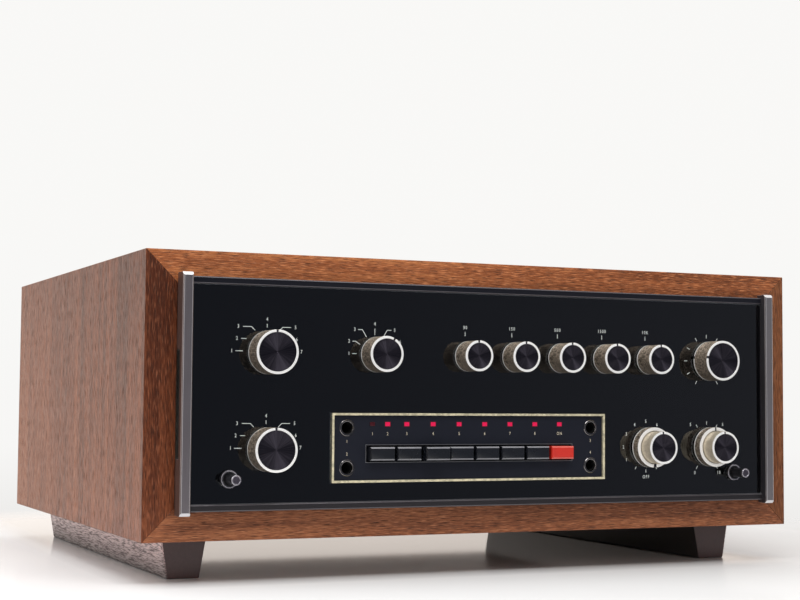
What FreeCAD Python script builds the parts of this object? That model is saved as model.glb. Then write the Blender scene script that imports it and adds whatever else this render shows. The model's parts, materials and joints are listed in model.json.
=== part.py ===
import FreeCAD, Part
import Sketcher
import math
import os
import re

# A stereo preamplifier in a mitred walnut cabinet, built as its separate pieces.
# Millimetres. X runs to the right as seen from the front, Y runs to the back, Z runs up.
# The origin is on the table, below the middle of the whole object's box.
# Most pieces are drawn from the cabinet's front face: a "front" or "ahead" size is how far
# a plane stands in front of that face, and each body is then placed at face_y.

SIZES = {
    # walnut cabinet
    "cabinet_width": 443.0,
    "cabinet_height": 166.6,
    "cabinet_depth": 363.0,
    "board": 19.0,
    # dark runners below the cabinet
    "runner_height": 24.6,
    "runner_top": 28.4,
    "runner_foot": 20.0,
    "runner_inset": 35.0,
    "runner_setback": 35.0,
    "runner_rear_setback": 17.5,
    # slide brackets on the cabinet's inner sides
    "bracket_sheet": 1.6,
    "bracket_length": 290.0,
    "bracket_web": 62.0,
    "bracket_start": 6.0,
    "shelf_reach": 30.0,
    "catch_height": 18.0,
    "catch_gap": 0.6,
    "catch_clear": 2.0,
    "slide_gap": 0.2,
    # front panel
    "panel_width": 406.4,
    "panel_height": 138.0,
    "panel_drop": 15.2,
    "plate_gap": 2.8,
    "plate_thick": 2.0,
    "glass_thick": 3.2,
    "glass_play": 0.2,
    "hole_play": 1.0,
    # end caps
    "cap_width": 6.2,
    "cap_front": 13.5,
    "cap_gap": 2.4,
    "cap_rebate": 1.6,
    "cap_edge": 0.7,
    "cap_bevel": 1.8,
    "pull_height": 62.0,
    "pull_from_top": 44.0,
    "pull_depth": 3.4,
    "pull_front": 8.4,
    # trim rails above and below the glass
    "rail_height": 4.2,
    "rail_inset": 2.0,
    "rail_proud": 0.8,
    "rail_bevel": 0.5,
    # window in the glass with its metal frame and switch plate
    "window_x": -17.0,
    "window_z": 77.6,
    "window_width": 186.0,
    "window_height": 41.0,
    "window_band": 1.3,
    "window_proud": 0.5,
    "centre_thick": 2.2,
    "centre_play": 0.1,
    "centre_lap": 4.0,
    "centre_lap_z": 2.5,
    # knob places and sizes
    "upper_row": 133.0,
    "lower_row": 77.0,
    "selector_x": -150.0,
    "mode_x": -81.9,
    "equaliser_x": -21.1,
    "equaliser_pitch": 32.45,
    "volume_x": 155.7,
    "knob_gap": 0.8,
    "knob_length": 16.0,
    "knob_radius": 12.85,
    "mode_radius": 10.6,
    "equaliser_radius": 9.4,
    "inner_radius": 10.3,
    "ring_width": 1.45,
    "ring_depth": 0.9,
    "notch_width": 0.7,
    "outer_length": 7.9,
    "inner_length": 18.2,
    "cup_depth": 4.2,
    "cup_play": 0.4,
    "inner_gap": 0.5,
    "mode_turn": 30.0,
    "volume_turn": -79.0,
    "ratio_turn": 180.0,
    # spindles and the controls that they turn
    "spindle_radius": 3.175,
    "spindle_play": 0.05,
    "spindle_hold": 9.0,
    "spindle_end": 1.0,
    "thin_spindle_radius": 1.6,
    "bush_radius": 4.7,
    "bush_play": 0.15,
    "bush_ahead": 7.4,
    "detent_size": 26.0,
    "detent_depth": 9.0,
    "wafer_radius": 15.0,
    "wafer_thick": 1.5,
    "wafer_pitch": 11.0,
    "tie_offset": 11.0,
    "tie_size": 3.0,
    "pot_size": 20.0,
    "pot_depth": 11.0,
    "dual_size": 24.0,
    "dual_depth": 24.0,
    "dual_step": 8.0,
    "volume_depth": 32.0,
    # push switches
    "button_x": -17.6,
    "button_z": 74.1,
    "button_pitch": 17.5,
    "button_width": 15.9,
    "button_height": 8.0,
    "button_proud": 4.0,
    "button_cap": 12.4,
    "button_bevel": 0.9,
    "button_travel": 3.4,
    "slot_margin": 1.0,
    "stem_width": 6.0,
    "stem_height": 5.0,
    "stem_length": 30.0,
    "stem_play": 0.2,
    "bank_back": 4.8,
    "bank_height": 13.0,
    "bank_depth": 24.0,
    "bank_wall": 3.5,
    "bank_sheet": 1.8,
    "bank_lug": 6.0,
    "bank_lug_height": 10.6,
    "bank_play": 1.0,
    # indicator lights
    "light_z": 91.6,
    "light_width": 3.2,
    "light_height": 2.4,
    "light_split": 4.95,
    "light_proud": 0.2,
    "light_play": 0.1,
    "light_board": 1.6,
    "light_board_height": 6.0,
    # front jacks
    "jack_spread": 166.2,
    "jack_rise": 23.6,
    "jack_bore": 3.25,
    "jack_bush": 4.6,
    "jack_proud": 0.6,
    "jack_hold": 22.0,
    "jack_width": 9.6,
    "jack_height": 10.6,
    "jack_depth": 29.0,
    "jack_play": 0.1,
    # release buttons in the lower corners and their latches
    "lock_x": 173.5,
    "lock_z": 60.3,
    "lock_radius": 2.9,
    "lock_reach": 14.9,
    "lock_cap": 12.0,
    "lock_rod": 4.0,
    "lock_travel": 10.0,
    "cam_ratio": 0.4,
    "cam_shoulder": 3.0,
    "collar_radius": 5.15,
    "collar_proud": 3.0,
    "collar_play": 0.1,
    "latch_y": 62.0,
    "latch_width": 8.0,
    "latch_thick": 3.0,
    "latch_play": 0.15,
    "latch_gap": 0.3,
    "latch_nose": 4.0,
    "guide_reach": 5.0,
    "guide_wall": 3.0,
    "tail_length": 26.0,
    "ear_back": 14.0,
    # sheet-metal chassis and covers
    "chassis_width": 372.0,
    "chassis_height": 121.0,
    "chassis_depth": 330.0,
    "chassis_lift": 3.0,
    "sheet": 1.5,
    "flange": 9.0,
    "cover_sheet": 1.2,
    "lip": 12.0,
    "lip_start": 100.0,
    "cover_play": 0.2,
    "vent_length": 44.0,
    "vent_width": 4.0,
    "vent_pitch": 13.0,
    "vent_column_pitch": 84.0,
    "vent_start": 150.0,
    "screw_radius": 3.4,
    "screw_head": 1.8,
    # rear panel and its fittings
    "rear_play": 0.1,
    "socket_x": -70.0,
    "socket_z": 118.0,
    "socket_pitch": 19.0,
    "socket_rise": 26.0,
    "socket_radius": 4.15,
    "socket_reach": 9.5,
    "strip_margin": 10.0,
    "strip_thick": 2.0,
    "strip_lap": 5.0,
    "outlet_x": 92.0,
    "outlet_z": 76.0,
    "outlet_pitch": 32.0,
    "outlet_width": 27.0,
    "outlet_height": 31.0,
    "outlet_face": 3.0,
    "outlet_rim": 6.0,
    "outlet_play": 0.2,
    "outlet_body": 22.0,
    "outlet_slot": 2.0,
    "outlet_slot_height": 8.0,
    "outlet_slot_depth": 12.0,
    "outlet_slot_gap": 12.7,
    "fuse_x": 150.0,
    "fuse_z": 140.0,
    "fuse_radius": 6.2,
    "fuse_cap": 7.6,
    "fuse_cap_reach": 9.0,
    "fuse_depth": 28.0,
    "gland_x": 150.0,
    "gland_z": 112.0,
    "gland_radius": 6.0,
    "gland_flange": 8.0,
    "gland_reach": 5.0,
    "gland_bore": 3.4,
    "gland_depth": 7.0,
    "post_x": -172.0,
    "post_z": 90.0,
    "post_radius": 2.0,
    "post_nut": 5.5,
    "post_reach": 12.0,
    "post_end": 4.0,
    "post_depth": 8.0,
    "terminal_x": -95.0,
    "terminal_z": 74.0,
    "terminal_pitch": 12.0,
    "terminal_height": 17.0,
    "terminal_base": 5.0,
    "terminal_fin": 5.0,
    "terminal_fin_thick": 2.0,
    # inside
    "board_thick": 1.6,
    "board_width": 300.0,
    "board_depth": 150.0,
    "board_start": 70.0,
    "board_lift": 9.0,
    "post_size": 6.0,
    "capacitor_radius": 13.0,
    "capacitor_height": 46.0,
    "capacitor_pitch": 31.0,
    "capacitor_x": 125.0,
    "capacitor_y": 95.0,
    "core_width": 66.0,
    "core_depth": 30.0,
    "core_height": 56.0,
    "coil_width": 44.0,
    "coil_height": 34.0,
    "coil_depth": 62.0,
    "core_x": 118.0,
    "core_y": 268.0,
    # how far a cut runs on past the face that it opens
    "cut_past": 1.0,
}

# Sizes that follow from the ones above.
DERIVED = {
    "reach": "glass_front + inner_length",
    "face_y": "(reach - cabinet_depth) / 2",
    "half": "cabinet_width / 2",
    "inner_half": "half - board",
    "floor_z": "runner_height",
    "roof_z": "runner_height + cabinet_height",
    "plate_front": "plate_gap + plate_thick",
    "glass_front": "plate_front + glass_thick",
    "panel_low": "runner_height + panel_drop",
    "panel_high": "panel_low + panel_height",
    "panel_half": "panel_width / 2",
    "cap_inner": "panel_half - cap_width",
    "plate_half": "cap_inner + cap_rebate",
    "rail_low": "panel_low + rail_inset",
    "rail_high": "panel_high - rail_inset",
    "glass_low": "rail_low + rail_height",
    "glass_high": "rail_high - rail_height",
    "pull_high": "panel_high - pull_from_top",
    "pull_low": "pull_high - pull_height",
    "window_left": "window_x - window_width / 2",
    "window_right": "window_x + window_width / 2",
    "window_low": "window_z - window_height / 2",
    "window_high": "window_z + window_height / 2",
    "centre_front": "plate_front + centre_thick",
    "cutout_half": "window_width / 2 - centre_lap",
    "cutout_rise": "window_height / 2 - centre_lap_z",
    "row_half": "(button_count - 1) / 2 * button_pitch + button_width / 2",
    "bank_front": "plate_gap - bank_back",
    "chassis_half": "chassis_width / 2",
    "chassis_low": "runner_height + board + chassis_lift",
    "chassis_high": "chassis_low + chassis_height",
    "shelf_top": "chassis_low - slide_gap",
    "cam_rise": "cam_ratio * lock_travel",
    "latch_near": "latch_y - latch_width / 2",
    "latch_far": "latch_y + latch_width / 2",
    "latch_inner": "lock_x + lock_rod / 2 + latch_gap",
    "rear_face": "chassis_depth + cover_sheet",
    "strip_half_width": "(sockets_per_row - 1) / 2 * socket_pitch + strip_margin",
    "strip_half_height": "socket_rise / 2 + strip_margin",
    "deck": "chassis_low + cover_sheet",
}

# Counts, and the button that stands out.
COUNTS = {
    "button_count": 8,
    "sockets_per_row": 8,
}
EQUALISERS = 5
BUTTON_STANDING_OUT = 2
WAFERS = 2
VENT_COLUMNS = 4
VENT_ROWS = {"top_cover": 6, "bottom_cover": 3}
CAPACITORS = 3
OUTLETS = 2
TERMINALS = 4

# Sides of what is round but drawn with flats, so that the whole object stays light.
KNOB_SIDES = 30
BUTTON_SIDES = 20
RING_SIDES = 16
HOLE_SIDES = 12
BUSH_SIDES = 8
WAFER_SIDES = 8
NUT_SIDES = 6

doc = FreeCAD.newDocument("preamplifier")
sheet = doc.addObject("Spreadsheet::Sheet", "sizes")
for row, (alias, number) in enumerate({**SIZES, **COUNTS}.items(), 1):
    sheet.set("A%d" % row, alias)
    sheet.set("B%d" % row, str(number))
    sheet.setAlias("B%d" % row, alias)
doc.recompute()

subparts = []


def bound(text):
    """Write a size expression in the sheet's own names, with derived sizes opened up."""
    def swap(found):
        word = found.group()
        if word in DERIVED:
            return "(" + bound(DERIVED[word]) + ")"
        return "sizes." + word if word in SIZES or word in COUNTS else word
    return re.sub(r"[a-z_]+", swap, str(text))


def value(text):
    return float(sheet.evalExpression(bound(text)))


def new_body(label, across="0", up="0", angle=None):
    """A body whose own origin lies on the cabinet's front face, at the given X and Z."""
    part = doc.addObject("PartDesign::Body", label)
    part.Label = label
    if angle:
        twist = FreeCAD.Rotation(FreeCAD.Vector(0, 1, 0), value(angle))
        part.Placement = FreeCAD.Placement(FreeCAD.Vector(), twist)
        part.setExpression("Placement.Rotation.Angle", bound(angle))
    part.setExpression("Placement.Base.x", bound(across))
    part.setExpression("Placement.Base.y", bound("face_y"))
    part.setExpression("Placement.Base.z", bound(up))
    subparts.append(part)
    return part


def plane(part, role):
    return [(next(item for item in part.Origin.OriginFeatures if item.Role == role), "")]


def sketch(part, name, role, offset="0"):
    """A sketch on one of the body's own planes. On XZ_Plane the offset runs to the front."""
    drawing = part.newObject("Sketcher::SketchObject", name)
    drawing.AttachmentSupport = plane(part, role)
    drawing.MapMode = "FlatFace"
    drawing.setExpression("AttachmentOffset.Base.z", bound(offset))
    return drawing


def outline(drawing, points):
    """A closed outline of straight lines, every corner tied to the sheet."""
    first = drawing.GeometryCount
    count = len(points)
    spots = [FreeCAD.Vector(value(x), value(y), 0) for x, y in points]
    lines = [Part.LineSegment(spots[n], spots[(n + 1) % count]) for n in range(count)]
    drawing.addGeometry(lines, False)
    rules = []
    for n in range(count):
        rules.append(Sketcher.Constraint("Coincident", first + n, 2, first + (n + 1) % count, 1))
    start = drawing.ConstraintCount + count
    for n in range(count):
        rules.append(Sketcher.Constraint("DistanceX", -1, 1, first + n, 1, spots[n].x))
        rules.append(Sketcher.Constraint("DistanceY", -1, 1, first + n, 1, spots[n].y))
    drawing.addConstraint(rules)
    for n, (x, y) in enumerate(points):
        drawing.setExpression("Constraints[%d]" % (start + 2 * n), bound(x))
        drawing.setExpression("Constraints[%d]" % (start + 2 * n + 1), bound(y))


def rectangle(drawing, left, low, right, high):
    outline(drawing, [(left, low), (right, low), (right, high), (left, high)])


def block(drawing, across, up, width, height):
    """A rectangle given by its middle and its size."""
    rectangle(drawing, "%s - (%s) / 2" % (across, width), "%s - (%s) / 2" % (up, height),
              "%s + (%s) / 2" % (across, width), "%s + (%s) / 2" % (up, height))


def circle(drawing, across, up, radius):
    centre = FreeCAD.Vector(value(across), value(up), 0)
    index = drawing.addGeometry(Part.Circle(centre, FreeCAD.Vector(0, 0, 1), value(radius)), False)
    start = drawing.ConstraintCount
    drawing.addConstraint([
        Sketcher.Constraint("DistanceX", -1, 1, index, 3, centre.x),
        Sketcher.Constraint("DistanceY", -1, 1, index, 3, centre.y),
        Sketcher.Constraint("Radius", index, value(radius)),
    ])
    for n, size in enumerate((across, up, radius)):
        drawing.setExpression("Constraints[%d]" % (start + n), bound(size))


def around(radius, sides):
    """The corner radius of a many-sided hole that clears a round part of this radius."""
    return "(%s) / %.6f" % (radius, math.cos(math.pi / sides))


def pad(part, drawing, length, backwards=True):
    """Raise a sketch. From XZ_Plane, backwards runs from the viewer to the back."""
    feature = part.newObject("PartDesign::Pad", drawing.Name + "_pad")
    feature.Profile = drawing
    feature.setExpression("Length", bound(length))
    feature.Reversed = backwards
    return feature


def cut(part, drawing, length, forwards=False):
    feature = part.newObject("PartDesign::Pocket", drawing.Name + "_cut")
    feature.Profile = drawing
    feature.setExpression("Length", bound(length))
    feature.Reversed = forwards
    return feature


def prism(part, name, sides, radius, front, length, across="0", up="0", role="XZ_Plane"):
    """A many-sided bar that ends on the plane "front", or on that level from XY_Plane."""
    feature = part.newObject("PartDesign::AdditivePrism", name)
    return shape_prism(part, feature, sides, radius, front, length, across, up, role)


def spindle(part, radius, front, length):
    """A round spindle on the body's own axis, from the plane "front" to the back."""
    feature = part.newObject("PartDesign::AdditiveCylinder", part.Name + "_spindle")
    feature.AttachmentSupport = plane(part, "XZ_Plane")
    feature.MapMode = "FlatFace"
    feature.setExpression("AttachmentOffset.Base.z", bound("(%s) - (%s)" % (front, length)))
    feature.setExpression("Radius", bound(radius))
    feature.setExpression("Height", bound(length))


def hollow(part, name, sides, radius, front, length, across="0", up="0"):
    """A many-sided hole that starts on the plane "front" and runs to the back."""
    feature = part.newObject("PartDesign::SubtractivePrism", name)
    shape_prism(part, feature, sides, radius, front, length, across, up, "XZ_Plane")


def shape_prism(part, feature, sides, radius, front, length, across, up, role):
    feature.AttachmentSupport = plane(part, role)
    feature.MapMode = "FlatFace"
    feature.Polygon = sides
    feature.setExpression("AttachmentOffset.Base.x", bound(across))
    feature.setExpression("AttachmentOffset.Base.y", bound(up))
    feature.setExpression("AttachmentOffset.Base.z", bound("(%s) - (%s)" % (front, length)))
    feature.setExpression("Circumradius", bound(radius))
    feature.setExpression("Height", bound(length))
    return feature


def repeat(part, features, drawing, pitch, count, rise, rows):
    """Repeat features along the sketch's first axis, and in rows along its second."""
    feature = part.newObject("PartDesign::LinearPattern", drawing.Name + "_rows")
    feature.Originals = features
    feature.Direction = (drawing, ["H_Axis"])
    feature.setExpression("Length", bound("(%s) * %d" % (pitch, count - 1)))
    feature.Occurrences = count
    feature.Direction2 = (drawing, ["V_Axis"])
    feature.setExpression("Length2", bound("(%s) * %d" % (rise, rows - 1)))
    feature.Occurrences2 = rows
    part.Tip = feature


def group(label, pieces):
    """Several separate solids that are kept as one node."""
    bundle = doc.addObject("Part::Compound", label)
    bundle.Label = label
    bundle.Links = pieces
    subparts.append(bundle)


def screw_head(across, back, up, axis, angle):
    """A hexagonal screw head whose foot is at the given place."""
    head = doc.addObject("Part::Prism", "screw_head")
    head.Polygon = NUT_SIDES
    head.setExpression("Circumradius", bound("screw_radius"))
    head.setExpression("Height", bound("screw_head"))
    head.Placement = FreeCAD.Placement(FreeCAD.Vector(), FreeCAD.Rotation(axis, angle))
    head.setExpression("Placement.Base.x", bound(across))
    head.setExpression("Placement.Base.y", bound("face_y + " + back))
    head.setExpression("Placement.Base.z", bound(up))
    return head


# Walnut cabinet: four boards with mitred corners, on two tapered runners.

def cabinet_boards():
    outer = {"left": "-half", "right": "half", "low": "floor_z", "high": "roof_z"}
    inner = {"left": "-inner_half", "right": "inner_half", "low": "floor_z + board",
             "high": "roof_z - board"}
    boards = {
        "cabinet_left_side": [("left", "low"), ("left", "high")],
        "cabinet_right_side": [("right", "low"), ("right", "high")],
        "cabinet_top": [("left", "high"), ("right", "high")],
        "cabinet_bottom": [("left", "low"), ("right", "low")],
    }
    for label, ends in boards.items():
        part = new_body(label)
        section = sketch(part, label + "_section", "XZ_Plane")
        outline(section, [(outer[x], outer[z]) for x, z in ends]
                + [(inner[x], inner[z]) for x, z in reversed(ends)])
        pad(part, section, "cabinet_depth")


def runner(label, side):
    part = new_body(label, "%d * (half - runner_inset)" % side)
    section = sketch(part, label + "_section", "XZ_Plane", "-runner_setback")
    outline(section, [("-runner_foot / 2", "0"), ("runner_foot / 2", "0"),
                      ("runner_top / 2", "runner_height"), ("-runner_top / 2", "runner_height")])
    pad(part, section, "cabinet_depth - runner_setback - runner_rear_setback")


# Slide brackets: steel angles on the cabinet's inner sides. The chassis slides on their
# shelves, and each has a catch that the latch holds behind.

def slide_brackets():
    part = new_body("slide_brackets")
    section = sketch(part, "bracket_section", "XZ_Plane", "-bracket_start")
    catches = sketch(part, "catches", "XZ_Plane", "-(latch_near - catch_gap - bracket_sheet)")
    low = "shelf_top - bracket_sheet"
    for side in (-1, 1):
        wall = "%d * inner_half" % side
        web = "%d * (inner_half - bracket_sheet)" % side
        shelf = "%d * (inner_half - shelf_reach)" % side
        outline(section, [(wall, low), (shelf, low), (shelf, "shelf_top"), (web, "shelf_top"),
                          (web, low + " + bracket_web"), (wall, low + " + bracket_web")])
        rectangle(catches, web, "lock_z - catch_height / 2",
                  "%d * (chassis_half + catch_clear)" % side, "lock_z + catch_height / 2")
    pad(part, section, "bracket_length")
    pad(part, catches, "bracket_sheet")


def bracket_screws():
    heads = []
    for side in (-1, 1):
        for n in (1, 3):
            heads.append(screw_head("%d * (inner_half - bracket_sheet)" % side,
                                    "bracket_start + %d * bracket_length / 4" % n,
                                    "shelf_top + bracket_web / 2", FreeCAD.Vector(0, 1, 0), -90 * side))
    group("bracket_screws", heads)


# Front panel: a steel plate carries the controls, and the glass lies on it between two
# aluminium end caps and two black rails.

def control_places():
    """Every knob's name with its X and Z."""
    last = "equaliser_x + %d * equaliser_pitch" % (EQUALISERS - 1)
    places = [("upper_selector", "selector_x", "upper_row"),
              ("lower_selector", "selector_x", "lower_row"),
              ("mode", "mode_x", "upper_row"),
              ("volume", "volume_x", "upper_row"),
              ("ratio", last, "lower_row"),
              ("balance", "volume_x", "lower_row")]
    for n in range(EQUALISERS):
        places.append(("equaliser_%d" % (n + 1), "equaliser_x + %d * equaliser_pitch" % n, "upper_row"))
    return places


def drill(part, sides, radius, front, thick):
    """Holes for all the knobs' bushes and for the two release buttons."""
    for name, across, up in control_places():
        hollow(part, part.Name + "_" + name, sides, around(radius, sides), front, thick, across, up)
    for side in (-1, 1):
        hollow(part, part.Name + "_release", sides, around("lock_radius + hole_play", sides), front,
               thick, "%d * lock_x" % side, "lock_z")


def front_plate():
    part = new_body("front_plate")
    face = sketch(part, "front_plate_face", "XZ_Plane", "plate_front")
    rectangle(face, "-plate_half", "rail_low", "plate_half", "rail_high")
    block(face, "window_x", "window_z", "2 * cutout_half", "2 * cutout_rise")
    pad(part, face, "plate_thick")
    drill(part, BUSH_SIDES, "bush_radius + bush_play", "plate_front", "plate_thick")


def glass_panel():
    part = new_body("glass_panel")
    face = sketch(part, "glass_face", "XZ_Plane", "glass_front")
    rectangle(face, "-plate_half + glass_play", "glass_low", "plate_half - glass_play", "glass_high")
    block(face, "window_x", "window_z", "window_width + 2 * centre_play",
          "window_height + 2 * centre_play")
    pad(part, face, "glass_thick")
    drill(part, HOLE_SIDES, "bush_radius + hole_play", "glass_front", "glass_thick")


def end_cap(label, side):
    part = new_body(label)
    plan = sketch(part, label + "_plan", "XY_Plane", "panel_low")
    outside = "%d * panel_half" % side
    inside = "%d * cap_inner" % side
    lip = "%d * plate_half" % side
    edge = "%d * cap_edge" % side
    outline(plan, [(outside, "-cap_gap"), (outside, "-cap_front + cap_edge"),
                   (outside + " - (%s)" % edge, "-cap_front"), (inside + " + " + edge, "-cap_front"),
                   (inside, "-cap_front + cap_edge"), (inside, "-glass_front"), (lip, "-glass_front"),
                   (lip, "-cap_gap")])
    pad(part, plan, "panel_height", backwards=False)
    bevels = sketch(part, label + "_bevels", "YZ_Plane", "%d * (panel_half + cut_past)" % side)
    for tip, step in (("panel_low", 1), ("panel_high", -1)):
        outline(bevels, [("-cap_front", tip), ("-cap_front + cap_bevel", tip),
                         ("-cap_front", tip + " + %d * cap_bevel" % step)])
    cut(part, bevels, "cap_width + 2 * cut_past", forwards=side < 0)
    # The finger pull is a notch in the outer side, behind the bright front bar.
    pull = sketch(part, label + "_pull", "XZ_Plane", "pull_front")
    rectangle(pull, "%d * (panel_half + cut_past)" % side, "pull_low",
              "%d * (panel_half - pull_depth)" % side, "pull_high")
    cut(part, pull, "pull_front")


def trim_rails():
    part = new_body("trim_rails")
    section = sketch(part, "rail_section", "YZ_Plane", "-cap_inner")
    front = "-(glass_front + rail_proud)"
    for low, high in (("rail_low", "glass_low"), ("glass_high", "rail_high")):
        outline(section, [("-plate_front", low), ("-plate_front", high), (front + " + rail_bevel", high),
                          (front, high + " - rail_bevel"), (front, low + " + rail_bevel"),
                          (front + " + rail_bevel", low)])
    pad(part, section, "2 * cap_inner", backwards=False)


def window_frame():
    part = new_body("window_frame")
    ring = sketch(part, "window_ring", "XZ_Plane", "glass_front + window_proud")
    block(ring, "window_x", "window_z", "window_width", "window_height")
    block(ring, "window_x", "window_z", "window_width - 2 * window_band",
          "window_height - 2 * window_band")
    pad(part, ring, "glass_thick + window_proud")


def button_x(n):
    return "button_x + (%d - (button_count - 1) / 2) * button_pitch" % n


def light_places():
    """One light above each button, but the first button has a pair."""
    pair = [button_x(0) + " - light_split", button_x(0) + " + light_split"]
    return pair + [button_x(n) for n in range(1, COUNTS["button_count"])]


def jack_places():
    return [("window_x + %d * jack_spread / 2" % across, "window_z + %d * jack_rise / 2" % up)
            for across in (-1, 1) for up in (1, -1)]


def centre_plate():
    part = new_body("centre_plate")
    face = sketch(part, "centre_face", "XZ_Plane", "centre_front")
    inset = "2 * (window_band + centre_play)"
    block(face, "window_x", "window_z", "window_width - " + inset, "window_height - " + inset)
    block(face, "button_x", "button_z", "2 * (row_half + slot_margin)", "button_height + 2 * slot_margin")
    for across in light_places():
        block(face, across, "light_z", "light_width + 2 * light_play", "light_height + 2 * light_play")
    pad(part, face, "centre_thick")
    for across, up in jack_places():
        hollow(part, "jack_hole", RING_SIDES, around("jack_bush + jack_play", RING_SIDES),
               "centre_front", "centre_thick", across, up)


def indicator_lights():
    """Nine lights on a strip of circuit board behind the switch plate."""
    part = new_body("indicator_lights")
    strip = sketch(part, "light_strip", "XZ_Plane", "plate_front")
    block(strip, "button_x", "light_z", "2 * row_half", "light_board_height")
    pad(part, strip, "light_board")
    faces = sketch(part, "light_faces", "XZ_Plane", "centre_front + light_proud")
    for across in light_places():
        block(faces, across, "light_z", "light_width", "light_height")
    pad(part, faces, "centre_thick + light_proud")


def front_jacks():
    part = new_body("front_jacks")
    holders = sketch(part, "jack_holders", "XZ_Plane", "plate_front")
    bores = sketch(part, "jack_bores", "XZ_Plane", "centre_front + jack_proud")
    for across, up in jack_places():
        block(holders, across, up, "jack_width", "jack_height")
        circle(bores, across, up, "jack_bore")
    pad(part, holders, "jack_depth")
    for across, up in jack_places():
        prism(part, "jack_bush", RING_SIDES, "jack_bush", "centre_front + jack_proud",
              "centre_thick + jack_proud", across, up)
    cut(part, bores, "jack_hold")


# Controls behind the plate. Each has a bush through the plate that its spindle turns in.

def bushes(part, places):
    """Bushes with their bores, for controls whose housings are there already."""
    bore = around("spindle_radius + spindle_play", HOLE_SIDES)
    for name, across, up in places:
        prism(part, name + "_bush", BUSH_SIDES, "bush_radius", "bush_ahead", "bush_ahead - plate_gap",
              across, up)
        hollow(part, name + "_bore", HOLE_SIDES, bore, "bush_ahead",
               "bush_ahead - plate_gap + spindle_hold", across, up)


def selector_switches():
    """Three rotary switches: a detent box, and wafers on two ties behind it."""
    part = new_body("selector_switches")
    places = control_places()[:3]
    detents = sketch(part, "detents", "XZ_Plane", "plate_gap")
    ties = sketch(part, "ties", "XZ_Plane", "plate_gap - detent_depth")
    for name, across, up in places:
        block(detents, across, up, "detent_size", "detent_size")
        for side in (-1, 1):
            block(ties, across, "%s + %d * tie_offset" % (up, side), "tie_size", "tie_size")
    pad(part, detents, "detent_depth")
    pad(part, ties, "wafer_pitch * %d + wafer_thick" % WAFERS)
    for n in range(1, WAFERS + 1):
        for name, across, up in places:
            prism(part, name + "_wafer", WAFER_SIDES, "wafer_radius",
                  "plate_gap - detent_depth - %d * wafer_pitch" % n, "wafer_thick", across, up)
    bushes(part, places)


def rotary_controls():
    """Eight potentiometers, longer where several are stacked on one spindle."""
    part = new_body("rotary_controls")
    places = control_places()[3:]
    housings = {"volume": ("detent_size", "volume_depth"), "ratio": ("dual_size", "dual_depth"),
                "balance": ("dual_size", "dual_depth")}
    for name, across, up in places:
        width, depth = housings.get(name, ("pot_size", "pot_depth"))
        housing = sketch(part, name + "_housing", "XZ_Plane", "plate_gap")
        block(housing, across, up, width, width)
        pad(part, housing, depth)
    bushes(part, places)


# Knobs: turned aluminium with a bright front ring, a sunk face and a pointer notch.

def pointer_notch(part, radius, front):
    notch = sketch(part, part.Name + "_notch", "XZ_Plane", front)
    rectangle(notch, "-notch_width / 2", radius + " - ring_width - cut_past", "notch_width / 2",
              radius + " + cut_past")
    cut(part, notch, "ring_depth")


def knob(label, across, up, radius, angle=None):
    part = new_body(label, across, up, angle)
    front = "glass_front + knob_length"
    prism(part, label + "_grip", KNOB_SIDES, radius, front, "knob_length - knob_gap")
    spindle(part, "spindle_radius", "glass_front + knob_gap",
            "glass_front + knob_gap - plate_gap + spindle_hold - spindle_end")
    hollow(part, label + "_face", KNOB_SIDES, radius + " - ring_width", front, "ring_depth")
    pointer_notch(part, radius, front)


def outer_knob(label, across, up, angle=None):
    """The low knob of a pair: a cup on a hollow spindle that the inner spindle runs in."""
    part = new_body(label, across, up, angle)
    front = "glass_front + outer_length"
    prism(part, label + "_grip", KNOB_SIDES, "knob_radius", front, "outer_length - knob_gap")
    spindle(part, "spindle_radius", "glass_front + knob_gap",
            "glass_front + knob_gap - plate_gap + spindle_hold - spindle_end")
    hollow(part, label + "_cup", KNOB_SIDES, "inner_radius + cup_play", front, "cup_depth")
    hollow(part, label + "_bore", HOLE_SIDES, around("thin_spindle_radius + spindle_play", HOLE_SIDES),
           front, "outer_length + glass_front - plate_gap + spindle_hold")
    pointer_notch(part, "knob_radius", front)


def inner_knob(label, across, up):
    """The tall knob of a pair, whose thin spindle runs through the outer one."""
    part = new_body(label, across, up)
    front = "glass_front + inner_length"
    base = "glass_front + outer_length - cup_depth + inner_gap"
    prism(part, label + "_grip", KNOB_SIDES, "inner_radius", front, front + " - (" + base + ")")
    spindle(part, "thin_spindle_radius", base, "(" + base + ") - plate_gap + spindle_hold - spindle_end")
    hollow(part, label + "_face", KNOB_SIDES, "inner_radius - ring_width", front, "ring_depth")
    pointer_notch(part, "inner_radius", front)


def knobs():
    radii = {"mode": "mode_radius", "volume": "knob_radius"}
    angles = {"mode": "mode_turn", "volume": "volume_turn", "ratio": "ratio_turn"}
    for name, across, up in control_places():
        if name in ("ratio", "balance"):
            outer_knob(name + "_outer_knob", across, up, angles.get(name))
            inner_knob(name + "_inner_knob", across, up)
        elif name.startswith("equaliser"):
            knob(name.replace("equaliser", "equaliser_knob"), across, up, "equaliser_radius")
        else:
            knob(name + "_knob", across, up, radii.get(name, "knob_radius"), angles.get(name))


# Push switches: eight buttons on stems that run in one bank.

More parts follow.
